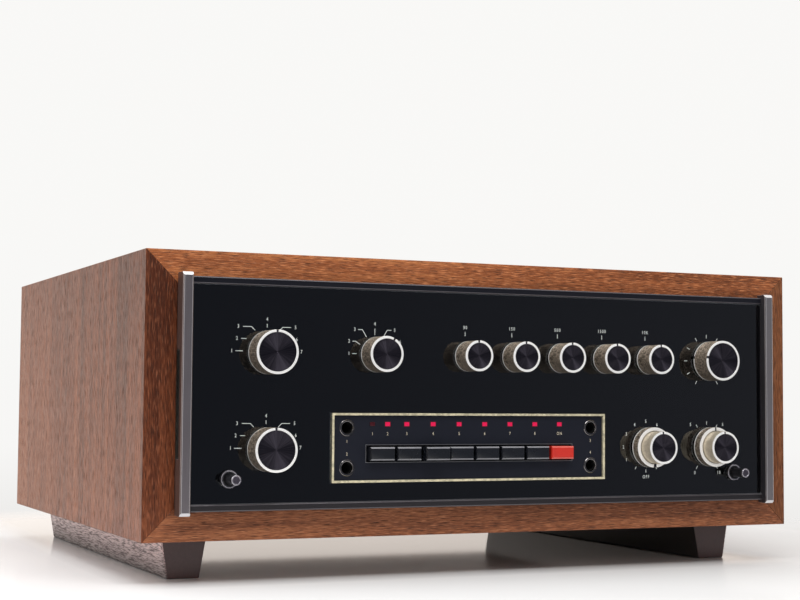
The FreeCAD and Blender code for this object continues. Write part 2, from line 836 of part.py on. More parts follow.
def push_button(n):
    label = "push_button_%d" % (n + 1)
    part = new_body(label, button_x(n), "button_z")
    ahead = "button_travel" if n == BUTTON_STANDING_OUT else "0"
    front = "glass_front + button_proud + " + ahead
    side = sketch(part, label + "_side", "YZ_Plane", "-button_width / 2")
    outline(side, [("-(%s) + button_bevel" % front, "-button_height / 2"),
                   ("-(%s)" % front, "-button_height / 2 + button_bevel"),
                   ("-(%s)" % front, "button_height / 2 - button_bevel"),
                   ("-(%s) + button_bevel" % front, "button_height / 2"),
                   ("-(%s) + button_cap" % front, "button_height / 2"),
                   ("-(%s) + button_cap" % front, "-button_height / 2")])
    pad(part, side, "button_width", backwards=False)
    stem = sketch(part, label + "_stem", "XZ_Plane", front + " - button_cap")
    block(stem, "0", "0", "stem_width", "stem_height")
    pad(part, stem, "stem_length")


def switch_bank():
    """The bank hangs on two feet behind the plate, and has a channel for each stem."""
    part = new_body("switch_bank")
    feet = sketch(part, "bank_feet", "XZ_Plane", "plate_gap")
    for side in (-1, 1):
        block(feet, "window_x + %d * (cutout_half + (bank_lug + bank_play) / 2)" % side, "window_z",
              "bank_lug - bank_play", "bank_lug_height")
    pad(part, feet, "bank_back")
    bridge = sketch(part, "bank_bridge", "XZ_Plane", "bank_front")
    block(bridge, "window_x", "window_z", "2 * (cutout_half + bank_lug)", "bank_lug_height")
    pad(part, bridge, "bank_sheet")
    housing = sketch(part, "bank_housing", "XZ_Plane", "bank_front")
    block(housing, "button_x", "button_z", "2 * (row_half + bank_wall)", "bank_height")
    pad(part, housing, "bank_depth")
    channels = sketch(part, "bank_channels", "XZ_Plane", "bank_front")
    for n in range(COUNTS["button_count"]):
        block(channels, button_x(n), "button_z", "stem_width + 2 * stem_play",
              "stem_height + 2 * stem_play")
    cut(part, channels, "bank_depth")


# Release buttons: each pushes a flat rod whose cam moves a latch out through the chassis
# side, behind the catch of the slide bracket.

def release_button(label, side):
    part = new_body(label, "%d * lock_x" % side, "lock_z")
    front = "glass_front + lock_reach"
    prism(part, label + "_cap", BUTTON_SIDES, "lock_radius", front, "lock_cap")
    rod = sketch(part, label + "_rod", "XZ_Plane", front + " - lock_cap")
    block(rod, "0", "0", "lock_rod", "latch_thick")
    pad(part, rod, front + " - lock_cap + latch_y + tail_length")
    cam = sketch(part, label + "_cam", "XY_Plane", "-latch_thick / 2")
    flank = "%d * lock_rod / 2" % side
    crest = "%d * (lock_rod / 2 + cam_rise)" % side
    outline(cam, [(flank, "latch_near"), (crest, "latch_near - lock_travel"),
                  (crest, "latch_near - lock_travel - cam_shoulder"),
                  (flank, "latch_near - lock_travel - cam_shoulder")])
    pad(part, cam, "latch_thick", backwards=False)


def lock_collars():
    part = new_body("lock_collars")
    front = "glass_front + collar_proud"
    for side in (-1, 1):
        across = "%d * lock_x" % side
        prism(part, "collar", RING_SIDES, "collar_radius", front, "collar_proud", across, "lock_z")
        hollow(part, "collar_bore", RING_SIDES, around("lock_radius + collar_play", RING_SIDES), front,
               "collar_proud", across, "lock_z")


def lock_latch(label, side):
    """A flat latch whose inner end rides up the cam of its rod."""
    part = new_body(label, up="lock_z")
    plan = sketch(part, label + "_plan", "XY_Plane", "-latch_thick / 2")
    inner = "%d * (latch_inner" % side
    outer = "%d * chassis_half" % side
    nose = "(latch_width - latch_nose)"
    outline(plan, [(inner + " + cam_ratio * %s)" % nose, "latch_near"), (outer, "latch_near"),
                   (outer, "latch_far"), (inner + ")", "latch_far"),
                   (inner + ")", "latch_near + " + nose)])
    pad(part, plan, "latch_thick", backwards=False)


# Sheet-metal chassis with its covers.

def chassis_frame():
    part = new_body("chassis_frame")
    plan = sketch(part, "chassis_plan", "XY_Plane", "chassis_low")
    rectangle(plan, "-chassis_half", "-plate_gap", "chassis_half", "chassis_depth")
    rectangle(plan, "-chassis_half + sheet", "-plate_gap + sheet", "chassis_half - sheet",
              "chassis_depth - sheet")
    pad(part, plan, "chassis_height", backwards=False)
    # Guides for the two latches and an ear for the tail of each rod.
    guides = sketch(part, "latch_guides", "XY_Plane", "lock_z - latch_thick / 2 - guide_wall")
    for side in (-1, 1):
        wall = "%d * (chassis_half - sheet)" % side
        rectangle(guides, wall, "latch_near - guide_wall",
                  "%d * (chassis_half - sheet - guide_reach)" % side, "latch_far + guide_wall")
        rectangle(guides, wall, "latch_far + ear_back", "%d * (lock_x - lock_rod / 2 - guide_wall)" % side,
                  "latch_far + ear_back + guide_wall")
    pad(part, guides, "latch_thick + 2 * guide_wall", backwards=False)
    slots = sketch(part, "latch_slots", "YZ_Plane", "chassis_half + cut_past")
    block(slots, "latch_y", "lock_z", "latch_width + 2 * latch_play", "latch_thick + 2 * latch_play")
    cut(part, slots, "chassis_width + 2 * cut_past")
    rods = sketch(part, "rod_holes", "XZ_Plane", "-(latch_far + ear_back)")
    for side in (-1, 1):
        block(rods, "%d * lock_x" % side, "lock_z", "lock_rod + 2 * latch_play",
              "latch_thick + 2 * latch_play")
    cut(part, rods, "guide_wall")
    # The front and the rear wall are frames that the panels close.
    inside = ("-chassis_half + flange", "chassis_low + flange", "chassis_half - flange",
              "chassis_high - flange")
    front = sketch(part, "front_window", "XZ_Plane", "plate_gap")
    rectangle(front, *inside)
    cut(part, front, "sheet")
    rear = sketch(part, "rear_window", "XZ_Plane", "-(chassis_depth - sheet)")
    rectangle(rear, *inside)
    cut(part, rear, "sheet")


def cover(label, level, drop_in):
    """A flat cover with a lip along each side. The bottom one drops in between the walls."""
    part = new_body(label)
    reach_in = "sheet + cover_play" if drop_in else "0"
    plan = sketch(part, label + "_plan", "XY_Plane", level)
    rectangle(plan, "-chassis_half + " + reach_in, "-plate_gap + " + reach_in,
              "chassis_half - (%s)" % reach_in, "chassis_depth - (%s)" % reach_in)
    pad(part, plan, "cover_sheet", backwards=False)
    lips = sketch(part, label + "_lips", "XY_Plane", level + (" + cover_sheet" if drop_in else ""))
    for side in (-1, 1):
        rectangle(lips, "%d * (chassis_half - sheet - cover_play)" % side, "lip_start",
                  "%d * (chassis_half - sheet - cover_play - cover_sheet)" % side,
                  "chassis_depth - sheet - flange")
    pad(part, lips, "lip", backwards=not drop_in)
    vent = sketch(part, label + "_vent", "XY_Plane", level + " + cover_sheet")
    block(vent, "-vent_column_pitch * %.1f" % ((VENT_COLUMNS - 1) / 2), "vent_start", "vent_length",
          "vent_width")
    opened = cut(part, vent, "cover_sheet")
    repeat(part, [opened], vent, "vent_column_pitch", VENT_COLUMNS, "vent_pitch", VENT_ROWS[label])


def cover_screws():
    heads = []
    for side in (-1, 1):
        across = "%d * (chassis_half - flange / 2)" % side
        for n in (1, 5, 9):
            heads.append(screw_head(across, "chassis_depth * 0.%d" % n, "chassis_high + cover_sheet",
                                    FreeCAD.Vector(0, 0, 1), 0))
        for up in ("chassis_low + flange / 2", "chassis_high - flange / 2"):
            heads.append(screw_head(across, "rear_face", up, FreeCAD.Vector(1, 0, 0), -90))
    group("cover_screws", heads)


# Rear panel and its fittings.

def outlet_places():
    return ["outlet_x + %d * outlet_pitch" % n for n in range(OUTLETS)]


def rear_panel():
    part = new_body("rear_panel")
    face = sketch(part, "rear_sheet", "XZ_Plane", "-chassis_depth")
    rectangle(face, "-chassis_half", "chassis_low", "chassis_half", "chassis_high")
    block(face, "socket_x", "socket_z", "2 * (strip_half_width - strip_lap)",
          "2 * (strip_half_height - strip_lap)")
    for across in outlet_places():
        block(face, across, "outlet_z", "outlet_width - outlet_rim", "outlet_height - outlet_rim")
    pad(part, face, "cover_sheet")
    for name in ("fuse", "gland", "post"):
        hollow(part, name + "_hole", HOLE_SIDES, around(name + "_radius + rear_play", HOLE_SIDES),
               "-chassis_depth", "cover_sheet", name + "_x", name + "_z")


def socket_strip():
    """Two rows of phono sockets on an insulating strip behind the rear panel."""
    part = new_body("socket_strip")
    plate = sketch(part, "strip_plate", "XZ_Plane", "-(chassis_depth - strip_thick)")
    block(plate, "socket_x", "socket_z", "2 * strip_half_width", "2 * strip_half_height")
    pad(part, plate, "strip_thick")
    length = "cover_sheet + socket_reach"
    sleeve = prism(part, "sleeve", HOLE_SIDES, "socket_radius", "-chassis_depth", length,
                   "socket_x - (sockets_per_row - 1) / 2 * socket_pitch", "socket_z - socket_rise / 2")
    repeat(part, [sleeve], plate, "socket_pitch", COUNTS["sockets_per_row"], "socket_rise", 2)


def power_outlets():
    part = new_body("power_outlets")
    faces = sketch(part, "outlet_faces", "XZ_Plane", "-rear_face")
    bodies = sketch(part, "outlet_bodies", "XZ_Plane", "-(rear_face - outlet_body)")
    slots = sketch(part, "outlet_slots", "XZ_Plane", "-(rear_face + outlet_face - outlet_slot_depth)")
    for across in outlet_places():
        block(faces, across, "outlet_z", "outlet_width", "outlet_height")
        block(bodies, across, "outlet_z", "outlet_width - outlet_rim - 2 * outlet_play",
              "outlet_height - outlet_rim - 2 * outlet_play")
        for side in (-1, 1):
            block(slots, "%s + %d * outlet_slot_gap / 2" % (across, side), "outlet_z", "outlet_slot",
                  "outlet_slot_height")
    pad(part, faces, "outlet_face")
    pad(part, bodies, "outlet_body")
    cut(part, slots, "outlet_slot_depth")


def fuse_holder():
    part = new_body("fuse_holder", "fuse_x", "fuse_z")
    prism(part, "fuse_tube", HOLE_SIDES, "fuse_radius", "-(rear_face - fuse_depth)", "fuse_depth")
    prism(part, "fuse_cap", RING_SIDES, "fuse_cap", "-rear_face", "fuse_cap_reach")


def cord_gland():
    """The gland that the power cord comes out of. The cord itself isn't there."""
    part = new_body("cord_gland", "gland_x", "gland_z")
    prism(part, "gland_neck", HOLE_SIDES, "gland_radius", "-(rear_face - gland_depth)", "gland_depth")
    prism(part, "gland_flange", RING_SIDES, "gland_flange", "-rear_face", "gland_reach")
    hollow(part, "gland_bore", HOLE_SIDES, "gland_bore", "-(rear_face - gland_depth)",
           "gland_depth + gland_reach")


def ground_post():
    part = new_body("ground_post", "post_x", "post_z")
    prism(part, "post_stud", HOLE_SIDES, "post_radius", "-(rear_face - post_depth)",
          "post_depth + post_reach")
    prism(part, "post_nut", NUT_SIDES, "post_nut", "-rear_face", "post_reach - post_end")


def speaker_terminals():
    part = new_body("speaker_terminals")
    base = sketch(part, "terminal_base", "XZ_Plane", "-rear_face")
    block(base, "terminal_x", "terminal_z", "terminal_pitch * %d + terminal_fin_thick" % TERMINALS,
          "terminal_height")
    pad(part, base, "terminal_base")
    fins = sketch(part, "terminal_fins", "XZ_Plane", "-(rear_face + terminal_base)")
    for n in range(TERMINALS + 1):
        block(fins, "terminal_x + (%.1f) * terminal_pitch" % (n - TERMINALS / 2), "terminal_z",
              "terminal_fin_thick", "terminal_height")
    pad(part, fins, "terminal_fin")
    for n in range(TERMINALS):
        prism(part, "terminal_screw", NUT_SIDES, "screw_radius", "-(rear_face + terminal_base)",
              "screw_head", "terminal_x + (%.1f) * terminal_pitch" % (n + 0.5 - TERMINALS / 2), "terminal_z")


# Inside the chassis.

def main_board():
    part = new_body("main_board")
    plan = sketch(part, "board_plan", "XY_Plane", "deck + board_lift")
    rectangle(plan, "-board_width / 2", "board_start", "board_width / 2", "board_start + board_depth")
    pad(part, plan, "board_thick", backwards=False)
    posts = sketch(part, "board_posts", "XY_Plane", "deck")
    for side in (-1, 1):
        for back in ("board_start + post_size", "board_start + board_depth - post_size"):
            block(posts, "%d * (board_width / 2 - post_size)" % side, back, "post_size", "post_size")
    pad(part, posts, "board_lift", backwards=False)


def filter_capacitors():
    part = new_body("filter_capacitors")
    top = "deck + board_lift + board_thick + capacitor_height"
    for n in range(CAPACITORS):
        prism(part, "capacitor", RING_SIDES, "capacitor_radius", top, "capacitor_height", "capacitor_x",
              "capacitor_y + %d * capacitor_pitch" % n, "XY_Plane")


def power_transformer():
    part = new_body("power_transformer")
    core = sketch(part, "core", "XY_Plane", "deck")
    block(core, "core_x", "core_y", "core_width", "core_depth")
    pad(part, core, "core_height", backwards=False)
    coil = sketch(part, "coil", "XZ_Plane", "-(core_y - coil_depth / 2)")
    block(coil, "core_x", "deck + core_height / 2", "coil_width", "coil_height")
    pad(part, coil, "coil_depth")


cabinet_boards()
runner("runner_left", -1)
runner("runner_right", 1)
slide_brackets()
bracket_screws()
front_plate()
glass_panel()
end_cap("end_cap_left", -1)
end_cap("end_cap_right", 1)
trim_rails()
window_frame()
centre_plate()
indicator_lights()
front_jacks()
selector_switches()
rotary_controls()
knobs()
for number in range(COUNTS["button_count"]):
    push_button(number)
switch_bank()
release_button("release_button_left", -1)
release_button("release_button_right", 1)
lock_collars()
lock_latch("lock_latch_left", -1)
lock_latch("lock_latch_right", 1)
chassis_frame()
cover("top_cover", "chassis_high", False)
cover("bottom_cover", "chassis_low", True)
cover_screws()
rear_panel()
socket_strip()
power_outlets()
fuse_holder()
cord_gland()
ground_post()
speaker_terminals()
main_board()
filter_capacitors()
power_transformer()

doc.recompute()
for item in doc.Objects:
    if "Invalid" in item.State or "Error" in item.State:
        raise RuntimeError(item.Label + " did not build: " + str(item.State))
    if item.TypeId in ("PartDesign::Pocket", "PartDesign::SubtractivePrism"):
        if item.Shape.Volume >= item.BaseFeature.Shape.Volume:
            raise RuntimeError(item.Label + " cuts nothing")
for part in subparts:
    if part.Shape.isNull() or not part.Shape.isValid():
        raise RuntimeError(part.Label + " has no valid shape")

os.makedirs("parts", exist_ok=True)
for part in subparts:
    part.Shape.exportStep(os.path.join("parts", part.Label + ".step"))
print(len(subparts), "sub-parts written")
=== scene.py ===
# %% [markdown]
# # A stereo preamplifier in a walnut cabinet
#
# The real thing is a steel chassis with a black glass front that slides into a mitred walnut
# box on two dark runners. This script dresses its solids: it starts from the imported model,
# gives every surface a finish made of shader nodes, and rebuilds what is turned, knurled or
# printed too finely for the solids. Everything is in metres, in the model's own frame: X to
# the right, Y to the back, Z up.

import json
import math

import bmesh
import bpy
from mathutils import Matrix, Vector


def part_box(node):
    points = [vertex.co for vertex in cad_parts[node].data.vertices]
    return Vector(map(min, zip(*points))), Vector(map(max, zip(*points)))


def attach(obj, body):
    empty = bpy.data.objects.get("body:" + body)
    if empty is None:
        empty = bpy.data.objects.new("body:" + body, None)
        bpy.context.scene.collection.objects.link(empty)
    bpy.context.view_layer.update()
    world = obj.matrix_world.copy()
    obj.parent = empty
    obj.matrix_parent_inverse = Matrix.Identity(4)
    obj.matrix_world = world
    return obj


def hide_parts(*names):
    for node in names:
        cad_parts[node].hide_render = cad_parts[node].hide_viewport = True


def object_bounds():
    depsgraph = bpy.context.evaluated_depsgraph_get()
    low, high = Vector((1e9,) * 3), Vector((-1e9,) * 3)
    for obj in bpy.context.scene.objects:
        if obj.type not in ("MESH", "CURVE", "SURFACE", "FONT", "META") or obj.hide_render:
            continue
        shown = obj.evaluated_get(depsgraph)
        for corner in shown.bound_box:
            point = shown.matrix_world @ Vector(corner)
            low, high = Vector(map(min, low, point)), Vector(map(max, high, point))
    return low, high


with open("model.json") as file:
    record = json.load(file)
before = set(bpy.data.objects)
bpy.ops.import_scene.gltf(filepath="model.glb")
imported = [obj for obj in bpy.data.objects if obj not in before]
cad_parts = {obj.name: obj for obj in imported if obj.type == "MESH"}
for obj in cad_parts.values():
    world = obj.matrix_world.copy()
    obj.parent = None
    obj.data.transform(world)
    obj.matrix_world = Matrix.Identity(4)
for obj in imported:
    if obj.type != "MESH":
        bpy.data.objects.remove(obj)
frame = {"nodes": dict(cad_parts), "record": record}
cad_box = [list(corner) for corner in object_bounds()]
MM = 0.001
print("pieces in the model:", len(frame["nodes"]))

# %% [markdown]
# ## Sums on sockets
#
# A finish is a graph of nodes, and sums in it are Math nodes. Written one by one they hide
# what is being worked out, so a small class wraps a socket and lets Python's own operators
# add the Math nodes. `1 - mask` works as well as `mask * 0.3`.

# %% A socket that takes part in sums
class Term:
    """An output socket of a finish, for use in Python sums."""

    def __init__(self, finish, socket):
        self.finish, self.socket = finish, socket

    def sum(self, operation, first, second):
        return self.finish.node("Math", {"operation": operation}, {0: first, 1: second})

    def __add__(self, other):
        return self.sum("ADD", self, other)

    def __sub__(self, other):
        return self.sum("SUBTRACT", self, other)

    def __rsub__(self, other):
        return self.sum("SUBTRACT", other, self)

    def __mul__(self, other):
        return self.sum("MULTIPLY", self, other)

    def __pow__(self, other):
        return self.sum("POWER", self, other)

    def __rpow__(self, other):
        return self.sum("POWER", other, self)

    def __gt__(self, other):
        return self.sum("GREATER_THAN", self, other)

    def __lt__(self, other):
        return self.sum("LESS_THAN", self, other)

    __radd__ = __add__
    __rmul__ = __mul__


# %% [markdown]
# ## Graphs and finishes
#
# One method adds any node: its settings come first, because they decide which sockets it has.
# A finish is a graph with a material and its Principled BSDF. What is the same all over the
# surface is set on the shader's sockets, and what changes over it, such as grain, is fed to
# them. The studio's world uses the same graph later on.

# %% The graph class
class Graph:
    """The nodes of one material or world."""

    def __init__(self, tree):
        self.tree = tree

    def node(self, kind, settings, inputs, out=0):
        made = self.tree.nodes.new("ShaderNode" + kind)
        for key, setting in settings.items():
            if key == "stops":
                self.set_stops(made.color_ramp, setting)
            else:
                setattr(made, key, setting)
        for key, given in inputs.items():
            self.plug(made.inputs[key], given)
        return Term(self, made.outputs[out])

    def set_stops(self, ramp, stops):
        while len(ramp.elements) < len(stops):
            ramp.elements.new(1.0)
        for element, (place, colour) in zip(ramp.elements, stops):
            element.position = place
            element.color = (*colour, 1.0)

    def plug(self, socket, given):
        if isinstance(given, Term):
            self.tree.links.new(given.socket, socket)
        elif isinstance(given, tuple) and socket.type == "RGBA":
            socket.default_value = (*given, 1.0)
        else:
            socket.default_value = given

    def part(self, vector, axis):
        return self.node("SeparateXYZ", {}, {"Vector": vector}, axis)

    def place(self, scale=(1, 1, 1), offset=(0, 0, 0)):
        """Where a point lies in the piece's own metres, stretched by a scale."""
        spot = self.node("TexCoord", {}, {}, "Object")
        return self.node("Mapping", {}, {"Vector": spot, "Location": offset, "Scale": scale})

    def noise(self, place, scale, detail=2.0, rough=0.5, twist=0.0):
        return self.node("TexNoise", {}, {"Vector": place, "Scale": scale, "Detail": detail,
                                          "Roughness": rough, "Distortion": twist})

    def normal(self, axis, kind="True Normal"):
        """How far a face points along an axis; the true normal ignores bumps and smoothing."""
        return self.part(self.node("NewGeometry", {}, {}, kind), axis)

    def between(self, value, low, high, to_low=0.0, to_high=1.0):
        return self.node("MapRange", {}, {"Value": value, "From Min": low, "From Max": high,
                                          "To Min": to_low, "To Max": to_high})

    def mixed(self, share, first, second):
        return self.node("Mix", {"data_type": "RGBA"}, {0: share, 6: first, 7: second}, 2)


# %% The finish class
class Finish(Graph):
    """A material on one Principled BSDF."""

    def __init__(self, name, **constants):
        self.material = bpy.data.materials.new(name)
        self.material.use_nodes = True
        super().__init__(self.material.node_tree)
        self.shader = self.tree.nodes["Principled BSDF"]
        for socket, number in constants.items():
            self.feed(socket.replace("_", " "), number)
        print("finish:", name)

    def feed(self, socket, given):
        self.plug(self.shader.inputs[socket], given)

    def bump(self, height, depth, strength=1.0):
        """Relief: a height from 0 to 1 stands for this depth in metres."""
        lifted = self.node("Bump", {}, {"Height": height, "Distance": depth, "Strength": strength})
        self.feed("Normal", lifted)


# %% [markdown]
# ## Walnut
#
# The cabinet is oiled walnut veneer. Seen close, it is a fine fleece of fibres with short open
# pores in it, some dark and some filled pale, and its broad bands are faint. Noise stretched
# along the board makes them all: one number per direction says how long a fibre is against
# its width. The grain stands upright on the side boards and lies across the others, so that it
# turns the corner at each mitre.

# %% Walnut for upright and for level boards
ALONG_X, ALONG_Y, ALONG_Z = 0, 1, 2
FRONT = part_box("cabinet_top")[0].y


def stretched(along, share):
    return tuple(share if axis == along else 1.0 for axis in range(3))


def shade(colour, share, lift=0.0):
    return tuple(share * part + lift for part in colour)


def walnut(name, along, offset, dark, middle, light, drift_and_sheen=(0, 0, 0), flecks=0.4):
    """Oiled walnut between three tones, with its grain along one axis.

    The drift says how much lighter the board grows per metre along each axis, from the front
    back, and the flecks how strongly its pale pores show. On the left side board the rise
    towards the back is painted sheen, the grazing light that board shows more at its rear.
    """
    finish = Finish(name, Specular_IOR_Level=0.36, Specular_Tint=(1.0, 0.90, 0.80))
    band = finish.noise(finish.place(stretched(along, 0.06), offset), 26, 2, 0.5, 0.6)
    figure = finish.noise(finish.place(stretched(along, 0.05), offset), 150, 4, 0.6, 0.2)
    fibre = finish.noise(finish.place(stretched(along, 0.09), offset), 1350, 3, 0.7)
    # On the left side board the drift's rise towards the back is painted sheen.
    spot = finish.place(offset=(0, -FRONT, 0))
    change = finish.node("VectorMath", {"operation": "DOT_PRODUCT"}, {0: spot, 1: drift_and_sheen}, "Value")
    tone = finish.between(band, 0.3, 0.7) * 0.34 + finish.between(figure, 0.34, 0.66) * 0.34
    tone = tone + finish.between(fibre, 0.36, 0.64) * 0.34 + change
    colour = finish.node("ValToRGB", {"stops": [(0.16, dark), (0.52, middle), (0.88, light)]},
                         {"Fac": tone})
    pore = finish.noise(finish.place(stretched(along, 0.07), offset), 1900, 2, 0.5)
    pore = finish.between(pore, 0.53, 0.68)
    pale = finish.noise(finish.place(stretched(along, 0.09)), 1800, 1, 0.4)
    pale = finish.between(pale, 0.54, 0.70)
    filled = finish.mixed(pale * flecks, colour, shade(light, 1.5, 0.03))
    finish.feed("Base Color", finish.mixed(pore * 0.75, filled, shade(dark, 0.35)))
    finish.feed("Roughness", finish.between(fibre, 0.3, 0.7, 0.26, 0.42) + pore * 0.40)
    finish.bump(fibre * 0.5 - pore, 0.00016, 0.9)
    return finish


# The left board grows lighter towards the back, which is painted sheen, and darker upward.
walnut_sides = {
    "left": walnut("walnut_upright", ALONG_Z, (0.13, 0.07, 0.0), (0.070, 0.016, 0.006),
                   (0.165, 0.042, 0.014), (0.270, 0.080, 0.028), (0.0, 0.9, -1.6), 0.35),
    "right": walnut("walnut_right", ALONG_Z, (0.33, 0.07, 0.0), (0.078, 0.021, 0.008),
                    (0.165, 0.052, 0.018), (0.250, 0.088, 0.032), (0.0, 0.0, 0.9), 0.35)}
walnut_top = walnut("walnut_top", ALONG_X, (0.0, 0.31, 0.52), (0.160, 0.044, 0.014),
                    (0.310, 0.090, 0.029), (0.480, 0.170, 0.057), (-0.75, 0.0, 0.0), 0.6)
walnut_bottom = walnut("walnut_bottom", ALONG_X, (0.4, 0.11, 0.23), (0.100, 0.028, 0.012),
                       (0.240, 0.076, 0.030), (0.390, 0.145, 0.060))

# %% [markdown]
# The two runners are stained to a brown black. Along their outer flanks the colour grows pale
# towards the top: that is painted sheen, the grazing light those flanks catch, and in it the
# open pores stay dark. The ends and the inner flanks are plain. A face's own normal tells them
# apart: on an outer flank it points the same way along X as the runner lies from the middle.

# %% Dark stained wood
def stained_wood():
    finish = Finish("stained_wood", Specular_IOR_Level=0.65)
    fibre = finish.noise(finish.place(stretched(ALONG_Y, 0.2)), 700, 3, 0.6)
    outer = finish.normal("X") * finish.part(finish.place(), "X") > 0.05
    depth = finish.normal("Y")
    end = depth * depth > 0.5
    pore = finish.noise(finish.place(stretched(ALONG_Y, 0.05)), 1900, 2, 0.6)
    pore = finish.between(pore, 0.46, 0.58) * outer
    # Painted sheen: the outer flanks grow pale towards their top.
    painted_light = outer * finish.between(finish.part(finish.place(), "Z"), 0.0, 0.020)
    inner_tone = finish.mixed(fibre, (0.012, 0.010, 0.010), (0.024, 0.018, 0.018))
    end_tone = finish.mixed(fibre, (0.046, 0.020, 0.018), (0.076, 0.036, 0.032))
    colour = finish.mixed(end, inner_tone, end_tone)
    colour = finish.mixed(painted_light, colour, (0.85, 0.62, 0.60))
    finish.feed("Base Color", finish.mixed(pore * 0.80, colour, (0.045, 0.030, 0.030)))
    finish.feed("Roughness", 0.32 + pore * 0.35)
    finish.bump(fibre * 0.2 - pore, 0.00008, 0.5)
    return finish


stained = stained_wood()

# %% [markdown]
# ## Metals and plastics
#
# Most metal here is one of three kinds: brushed, with fine lines one way, turned, with lines
# round an axis, or plated sheet. Paint and moulded plastic need only an unevenness in colour
# and gloss. So one function makes each kind, and the colour tells them apart.

# %% Brushed metal
def brushed(name, colour, rough, along, depth=0.5, metal=1.0, flank_reflection=None):
    """Metal brushed along one axis, whose left and right flanks may take a painted reflection."""
    finish = Finish(name, Metallic=metal, Roughness=rough)
    lines = finish.noise(finish.place(stretched(along, 0.02)), 2600, 2, 0.6)
    cloud = finish.noise(finish.place(), 22, 3, 0.5)
    tone = finish.mixed(lines * 0.7 + cloud * 0.3, shade(colour, 0.80), colour)
    if flank_reflection:
        across = finish.normal("X")
        tone = finish.mixed(finish.between(across * across, 0.1, 0.9), tone, flank_reflection)
    finish.feed("Base Color", tone)
    finish.feed("Roughness", finish.between(lines, 0.3, 0.7, rough * 0.8, rough * 1.2))
    finish.bump(lines, 0.00002, depth)
    return finish


# %% Turned metal
def turned(name, colour, rough, metal=1.0, grit=0.5, scale=1500, shade_below=0.0):
    """Turned or knurled metal, grainy, with painted shade by a share where it faces down."""
    finish = Finish(name, Metallic=metal, Roughness=rough)
    grain = finish.noise(finish.place(), scale, 2, 0.6)
    fine = finish.noise(finish.place(), 260, 3, 0.6)
    share = finish.between(grain, 0.38, 0.62) * 0.7 + finish.between(fine, 0.3, 0.7) * 0.3
    # Painted shade: the colour darkens on faces that point down.
    share = share * finish.between(finish.normal("Z", "Normal"), -0.9, 0.9, 1.0 - shade_below, 1.0)
    finish.feed("Base Color", finish.mixed(share, shade(colour, 1 - grit), colour))
    finish.feed("Roughness", finish.between(grain, 0.3, 0.7, rough * 0.85, rough * 1.15))
    return finish


# %% Polished edges of the end caps
def polished_edge():
    """The end caps' rounded edges: painted highlight facing right, painted shade facing left."""
    finish = Finish("polished_cap_edge")
    facing = finish.normal("X")
    streak_noise = finish.noise(finish.place(stretched(ALONG_Z, 0.1)), 260, 3, 0.6)
    highlight_streaks = finish.between(streak_noise, 0.3, 0.7, 0.75, 1.0)
    # Painted shade on edges that face left, and a painted highlight on those that face right.
    bright = finish.mixed(finish.between(facing, -0.5, -0.3), (0.44, 0.40, 0.39), (0.74, 0.73, 0.75))
    right = finish.between(facing, 0.3, 0.5)
    finish.feed("Base Color", finish.mixed(right * highlight_streaks, bright, (1.0, 0.95, 0.91)))
    finish.feed("Metallic", 0.5 + right * 0.5)
    finish.feed("Roughness", 0.30 + streak_noise * 0.05)
    return finish


# %% Paint, plating and plastic
def coated(name, colour, rough, metal=0.0, gloss=0.5):
    """Paint, plating or moulded plastic: even, with a little cloud in it."""
    finish = Finish(name, Metallic=metal, Specular_IOR_Level=gloss)
    skin = finish.noise(finish.place(), 1500, 2, 0.5)
    cloud = finish.noise(finish.place(), 30, 4, 0.55)
    finish.feed("Base Color", finish.mixed(cloud * 0.6 + skin * 0.4, shade(colour, 0.85), colour))
    finish.feed("Roughness", finish.between(cloud, 0.3, 0.7, rough * 0.92, rough * 1.08))
    return finish


# %% Metal finishes
zinc = coated("zinc_plated_sheet", (0.55, 0.55, 0.53), 0.38, metal=1.0)
steel = brushed("bright_steel", (0.62, 0.61, 0.60), 0.28, ALONG_Y)
nickel = coated("nickel_plate", (0.66, 0.64, 0.60), 0.22, metal=1.0)
# Flank colours are painted reflections: walnut brown on the left cap, glass black on the right.
cap_face = {
    "left": brushed("brushed_cap_face", (0.225, 0.200, 0.212), 0.36, ALONG_Z, metal=0.7,
                    flank_reflection=(0.160, 0.108, 0.096)),
    "right": brushed("brushed_right_cap_face", (0.285, 0.262, 0.272), 0.36, ALONG_Z, metal=0.7,
                     flank_reflection=(0.080, 0.072, 0.082))}
cap_edge = polished_edge()
dark_chrome = coated("dark_chrome", (0.22, 0.19, 0.225), 0.30, metal=1.0)
chrome_rim = coated("chrome_rim", (0.44, 0.42, 0.46), 0.25, metal=0.7)
jack_metal = coated("blackened_nickel", (0.24, 0.225, 0.22), 0.18, metal=1.0)
laminations = brushed("transformer_laminations", (0.10, 0.10, 0.11), 0.5, ALONG_X)
knob_ring = turned("knob_front_ring", (0.97, 0.955, 0.93), 0.38, 0.35, 0.06)
# The knurled sides take three quarters of painted shade where they face down.
knob_side = turned("knob_knurled_side", (1.00, 0.82, 0.64), 0.42, 0.80, 0.90, 800, 0.75)
knob_gold = turned("knob_champagne_side", (0.88, 0.77, 0.60), 0.45, 0.7, 0.25)
gold_trim = turned("gold_trim", (1.00, 0.90, 0.62), 0.42, 0.50, 0.42, 420)

# %% Painted and moulded finishes
# The rails' rounded edges are painted grey: a painted highlight.
rail_edge = coated("rail_edge_highlight", (0.150, 0.138, 0.150), 0.35, metal=0.4)
behind_glass = coated("black_behind_glass", (0.0024, 0.0026, 0.0034), 0.9, gloss=0.08)
charcoal = coated("charcoal_plate", (0.0105, 0.0120, 0.020), 0.5, gloss=0.16)
slot_line = coated("grey_slot_line", (0.13, 0.13, 0.14), 0.4, metal=0.4)
black_plastic = coated("black_moulded_plastic", (0.010, 0.010, 0.012), 0.30)
button_black = coated("black_button", (0.008, 0.009, 0.013), 0.28)
